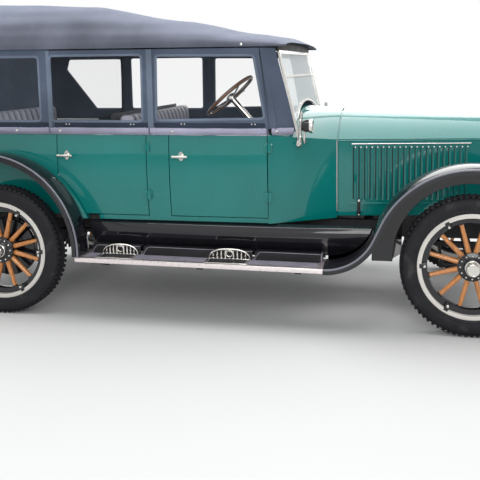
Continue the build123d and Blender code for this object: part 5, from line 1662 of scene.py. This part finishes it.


# Bonnet: mouldings, black strips as painted shade in the louvre openings, rounded louvre heads, latches and
# the welt at the cowl
bonnet = {
    # x, half width of the bonnet's side
    "rear": (2.147, 0.4330),
    "front": (3.060, 0.2990),
    "mouldX": (2.232, 2.962),
    "mouldZ": 1.0900,
    "mouldSection": (0.008, 0.009),
    "louvreX": (2.254, 2.942),
    "louvreCount": 21,
    "louvreZ": (0.737, 1.074),
    # size, shortening and place of the black strips painted as shade in the louvre openings
    "slotSize": (0.0055, 0.004),
    "slotShort": 0.012,
    "slotBehind": 0.0130,
    # how far out from the side, and how far below the louvre's head
    "capAt": (0.004, 0.006),
    "latchX": (2.276, 2.985),
    "latchZ": (0.628, 0.742),
    "latchOut": 0.005,
    "latchBar": (0.019, 0.008),
    "latchCatch": (0.026, 0.012, 0.018),
    "catchUp": 0.035,
    # how far out from the latch, and how far in from its end
    "knobAt": (0.003, 0.008),
    "latchBoltAt": (0.005, 0.012),
    "weltX": 2.1405,
    "weltY": 0.4355,
    "weltZ": (0.665, 0.80, 0.95, 1.112),
    "weltWidth": 0.0055,
    # radius, height
    "cap": [(0.0, 0.0075), (0.0035, 0.0062), (0.0055, 0.003), (0.006, 0.0)],
    "knob": [(0.0, 0.022), (0.007, 0.021), (0.0105, 0.015), (0.008, 0.008), (0.0055, 0.0), (0.0, 0.0)],
    "latchBolt": [(0.0, 0.007), (0.006, 0.006), (0.008, 0.0)],
}


def bonnetSide(x):
    (x0, y0), (x1, y1) = bonnet["rear"], bonnet["front"]
    return y0 + (y1 - y0) * (x - x0) / (x1 - x0)


def makeBonnetTrim():
    slant = math.atan2(bonnet["front"][1] - bonnet["rear"][1], bonnet["front"][0] - bonnet["rear"][0])
    first, last = bonnet["louvreX"]
    low, high = bonnet["louvreZ"]
    latchLow, latchHigh = bonnet["latchZ"]
    for side, tag in ((-1, "right"), (1, "left")):
        body = "bonnet_side_" + tag
        turn = Matrix.Rotation(side * slant, 4, "Z")
        bright, openingShadeAndLatches, fixings = bmesh.new(), bmesh.new(), bmesh.new()
        points = [Vector((x, side * (bonnetSide(x) + 0.002), bonnet["mouldZ"])) for x in bonnet["mouldX"]]
        merge(bright, strip(points, roundSection(*bonnet["mouldSection"])))
        for i in range(bonnet["louvreCount"]):
            x = first + (last - first) * i / (bonnet["louvreCount"] - 1)
            spot = at(x, side * bonnetSide(x), 0) @ turn
            # a black strip behind each louvre, painted shade in its opening
            merge(openingShadeAndLatches, block(*bonnet["slotSize"], high - low - bonnet["slotShort"], 0.001, 1),
                  spot @ at(-bonnet["slotBehind"], side * 0.001, (low + high) / 2))
            out, down = bonnet["capAt"]
            merge(bright, turned(bonnet["cap"], 12), spot @ at(0, side * out, high - down) @ outward(side))
        for x in bonnet["latchX"]:
            spot = at(x, side * (bonnetSide(x) + bonnet["latchOut"]), 0) @ turn
            merge(openingShadeAndLatches, block(*bonnet["latchBar"], latchHigh - latchLow, 0.003, 2),
                  spot @ at(0, 0, (latchLow + latchHigh) / 2))
            merge(openingShadeAndLatches, block(*bonnet["latchCatch"], 0.003, 2),
                  spot @ at(0, 0, latchLow + bonnet["catchUp"]))
            out, down = bonnet["knobAt"]
            merge(fixings, turned(bonnet["knob"], 16),
                  spot @ at(0, side * out, latchHigh - down) @ outward(side))
            out, up = bonnet["latchBoltAt"]
            merge(fixings, turned(bonnet["latchBolt"], 12),
                  spot @ at(0, side * out, latchLow + up) @ outward(side))
        asPiece(bright, "bonnetMoulding." + tag, "edge", body)
        asPiece(openingShadeAndLatches, "louvreShadeAndLatches." + tag, "frameBlack", body)
        asPiece(fixings, "bonnetKnobs." + tag, "nickel", body)
    welt = bmesh.new()
    for side in (-1, 1):
        points = [Vector((bonnet["weltX"], side * bonnet["weltY"], z)) for z in bonnet["weltZ"]]
        merge(welt, strip(points, roundSection(bonnet["weltWidth"], bonnet["weltWidth"], 8), sideways))
    asPiece(welt, "cowlWelt", "edge")


makeBonnetTrim()
print("bonnet trimmed")


# Pieces kept from the frame as they are, by finish
keptNodes = {
    "frameBlack": ["front_axle", "knuckle_left", "knuckle_right", "tie_rod", "rear_axle", "leaf_springs",
                   "frame_rails", "frame_cross_members", "exhaust", "fuel_tank", "firewall", "spare_carrier",
                   "plate_holders"],
    "iron": ["engine"],
    "carpet": ["floor"],
    "dashWood": ["dashboard"],
    "glass": ["windscreen_glass"],
    "core": ["radiator_core"],
    "lining": ["seat_frames"],
}
for finish, names in keptNodes.items():
    for name in names:
        nodeMaterials = frame["nodes"][name].data.materials
        nodeMaterials.clear()
        nodeMaterials.append(materials[finish])

# Body panels keep their CAD shape and get softened edges
for name in ("cowl", "rear_tub", "door_frames"):
    dressed(name, "green", 0.0015)
for side in ("right", "left"):
    for name in ("door_front_", "door_rear_"):
        dressed(name + side, "green", 0.0015, trimAt=door["skinY"])
    for name in ("bonnet_side_", "bonnet_top_"):
        dressed(name + side, "green", 0.0015)
dressed("radiator_shell", "nickel", 0.002)
print("body panels dressed")


# Camera at the photograph's place
view = {
    "place": (2.639, -5.018, 1.577),
    "yaw": 10.25,
    "down": 7.63,
    "roll": -0.58,
    "focal": 742.0,
    "imageSize": 480.0,
    "centrePixel": (285.0, 165.0),
    "sensor": 36.0,
}


def makeCamera():
    data = bpy.data.cameras.new("photoCamera")
    camera = newObject("photoCamera", data)
    turn = Matrix.Rotation(math.radians(view["yaw"]), 4, "Z")
    turn = turn @ Matrix.Rotation(math.radians(90 - view["down"]), 4, "X")
    turn = turn @ Matrix.Rotation(math.radians(view["roll"]), 4, "Z")
    camera.matrix_world = carShift @ at(*view["place"]) @ turn
    size = view["imageSize"]
    data.sensor_width = view["sensor"]
    data.lens = view["focal"] / size * view["sensor"]
    data.shift_x = 0.5 - view["centrePixel"][0] / size
    data.shift_y = view["centrePixel"][1] / size - 0.5
    data.clip_end = 200
    bpy.context.scene.camera = camera


studio = {
    "skyStrength": 0.62,
    "skyColour": (0.93, 0.96, 1.0),
    "floorColour": (0.6, 0.6, 0.59),
    "floorSize": 40.0,
    "floorFade": (5.0, 15.0),
    "lights": [
        # name, place, aimed at, size, watts
        ("overhead", (1.4, 0.4, 6.8), (1.4, 0, 0.8), 8.6, 560),
        ("rightSide", (3.5, -8.5, 4.2), (1.2, 0, 0.9), 5.0, 330),
        ("leftSide", (1.6, 9.0, 5.4), (1.5, 0, 0.9), 7.0, 300),
        ("tail", (-7.0, -1.0, 4.5), (0.0, 0, 0.9), 4.0, 130),
    ],
}


# The sky lights the car softly, but is plain white to the camera and in reflections
def makeSky():
    world = bpy.data.worlds.new("studioSky")
    bpy.context.scene.world = world
    world.use_nodes = True
    tree = world.node_tree
    soft = tree.nodes["Background"]
    soft.inputs["Color"].default_value = (*studio["skyColour"], 1)
    soft.inputs["Strength"].default_value = studio["skyStrength"]
    white = tree.nodes.new("ShaderNodeBackground")
    white.inputs["Color"].default_value = (1, 1, 1, 1)
    path = tree.nodes.new("ShaderNodeLightPath")
    seen = combined(tree, "MAXIMUM", path.outputs["Is Camera Ray"], path.outputs["Is Glossy Ray"])
    seen = combined(tree, "MAXIMUM", seen, path.outputs["Is Transmission Ray"])
    blended(tree, seen, soft, white, "World Output")


def makeLights():
    for name, spot, target, size, watts in studio["lights"]:
        data = bpy.data.lights.new(name, "AREA")
        data.shape = "DISK"
        data.size = size
        data.energy = watts
        light = newObject(name, data)
        aim = (Vector(target) - Vector(spot)).to_track_quat("-Z", "Y").to_matrix().to_4x4()
        light.matrix_world = carShift @ at(*spot) @ aim
        light.visible_camera = False


# Far from the car the floor turns into the white background
def makeFloor():
    size, colour = studio["floorSize"], studio["floorColour"]
    bm = bmesh.new()
    bmesh.ops.create_grid(bm, x_segments=1, y_segments=1, size=size / 2)
    mesh = bpy.data.meshes.new("paleFloor")
    bm.to_mesh(mesh)
    bm.free()
    floor = newObject("paleFloor", mesh)
    mat, tree, shader = newMaterial("paleFloor", colour, 0.9)
    tint(tree, shader, noiseAt(tree, place(tree), 0.6), [(0.3, shade(colour, 0.98)), (0.7, colour)])
    away = tree.nodes.new("ShaderNodeVectorMath")
    away.operation = "LENGTH"
    tree.links.new(place(tree), away.inputs[0])
    share = combined(tree, "MULTIPLY", away.outputs["Value"], 1 / size)
    near, far = (reach / size for reach in studio["floorFade"])
    path = tree.nodes.new("ShaderNodeLightPath")
    share = ramp(tree, share, [(near, 0.0), (far, 1.0)])
    faded = combined(tree, "MULTIPLY", share, path.outputs["Is Camera Ray"])
    blended(tree, faded, shader, tree.nodes.new("ShaderNodeEmission"), "Material Output")
    mesh.materials.append(mat)


makeCamera()
makeSky()
makeLights()
makeFloor()
bpy.context.scene.view_settings.view_transform = "Standard"
print("camera and studio set")
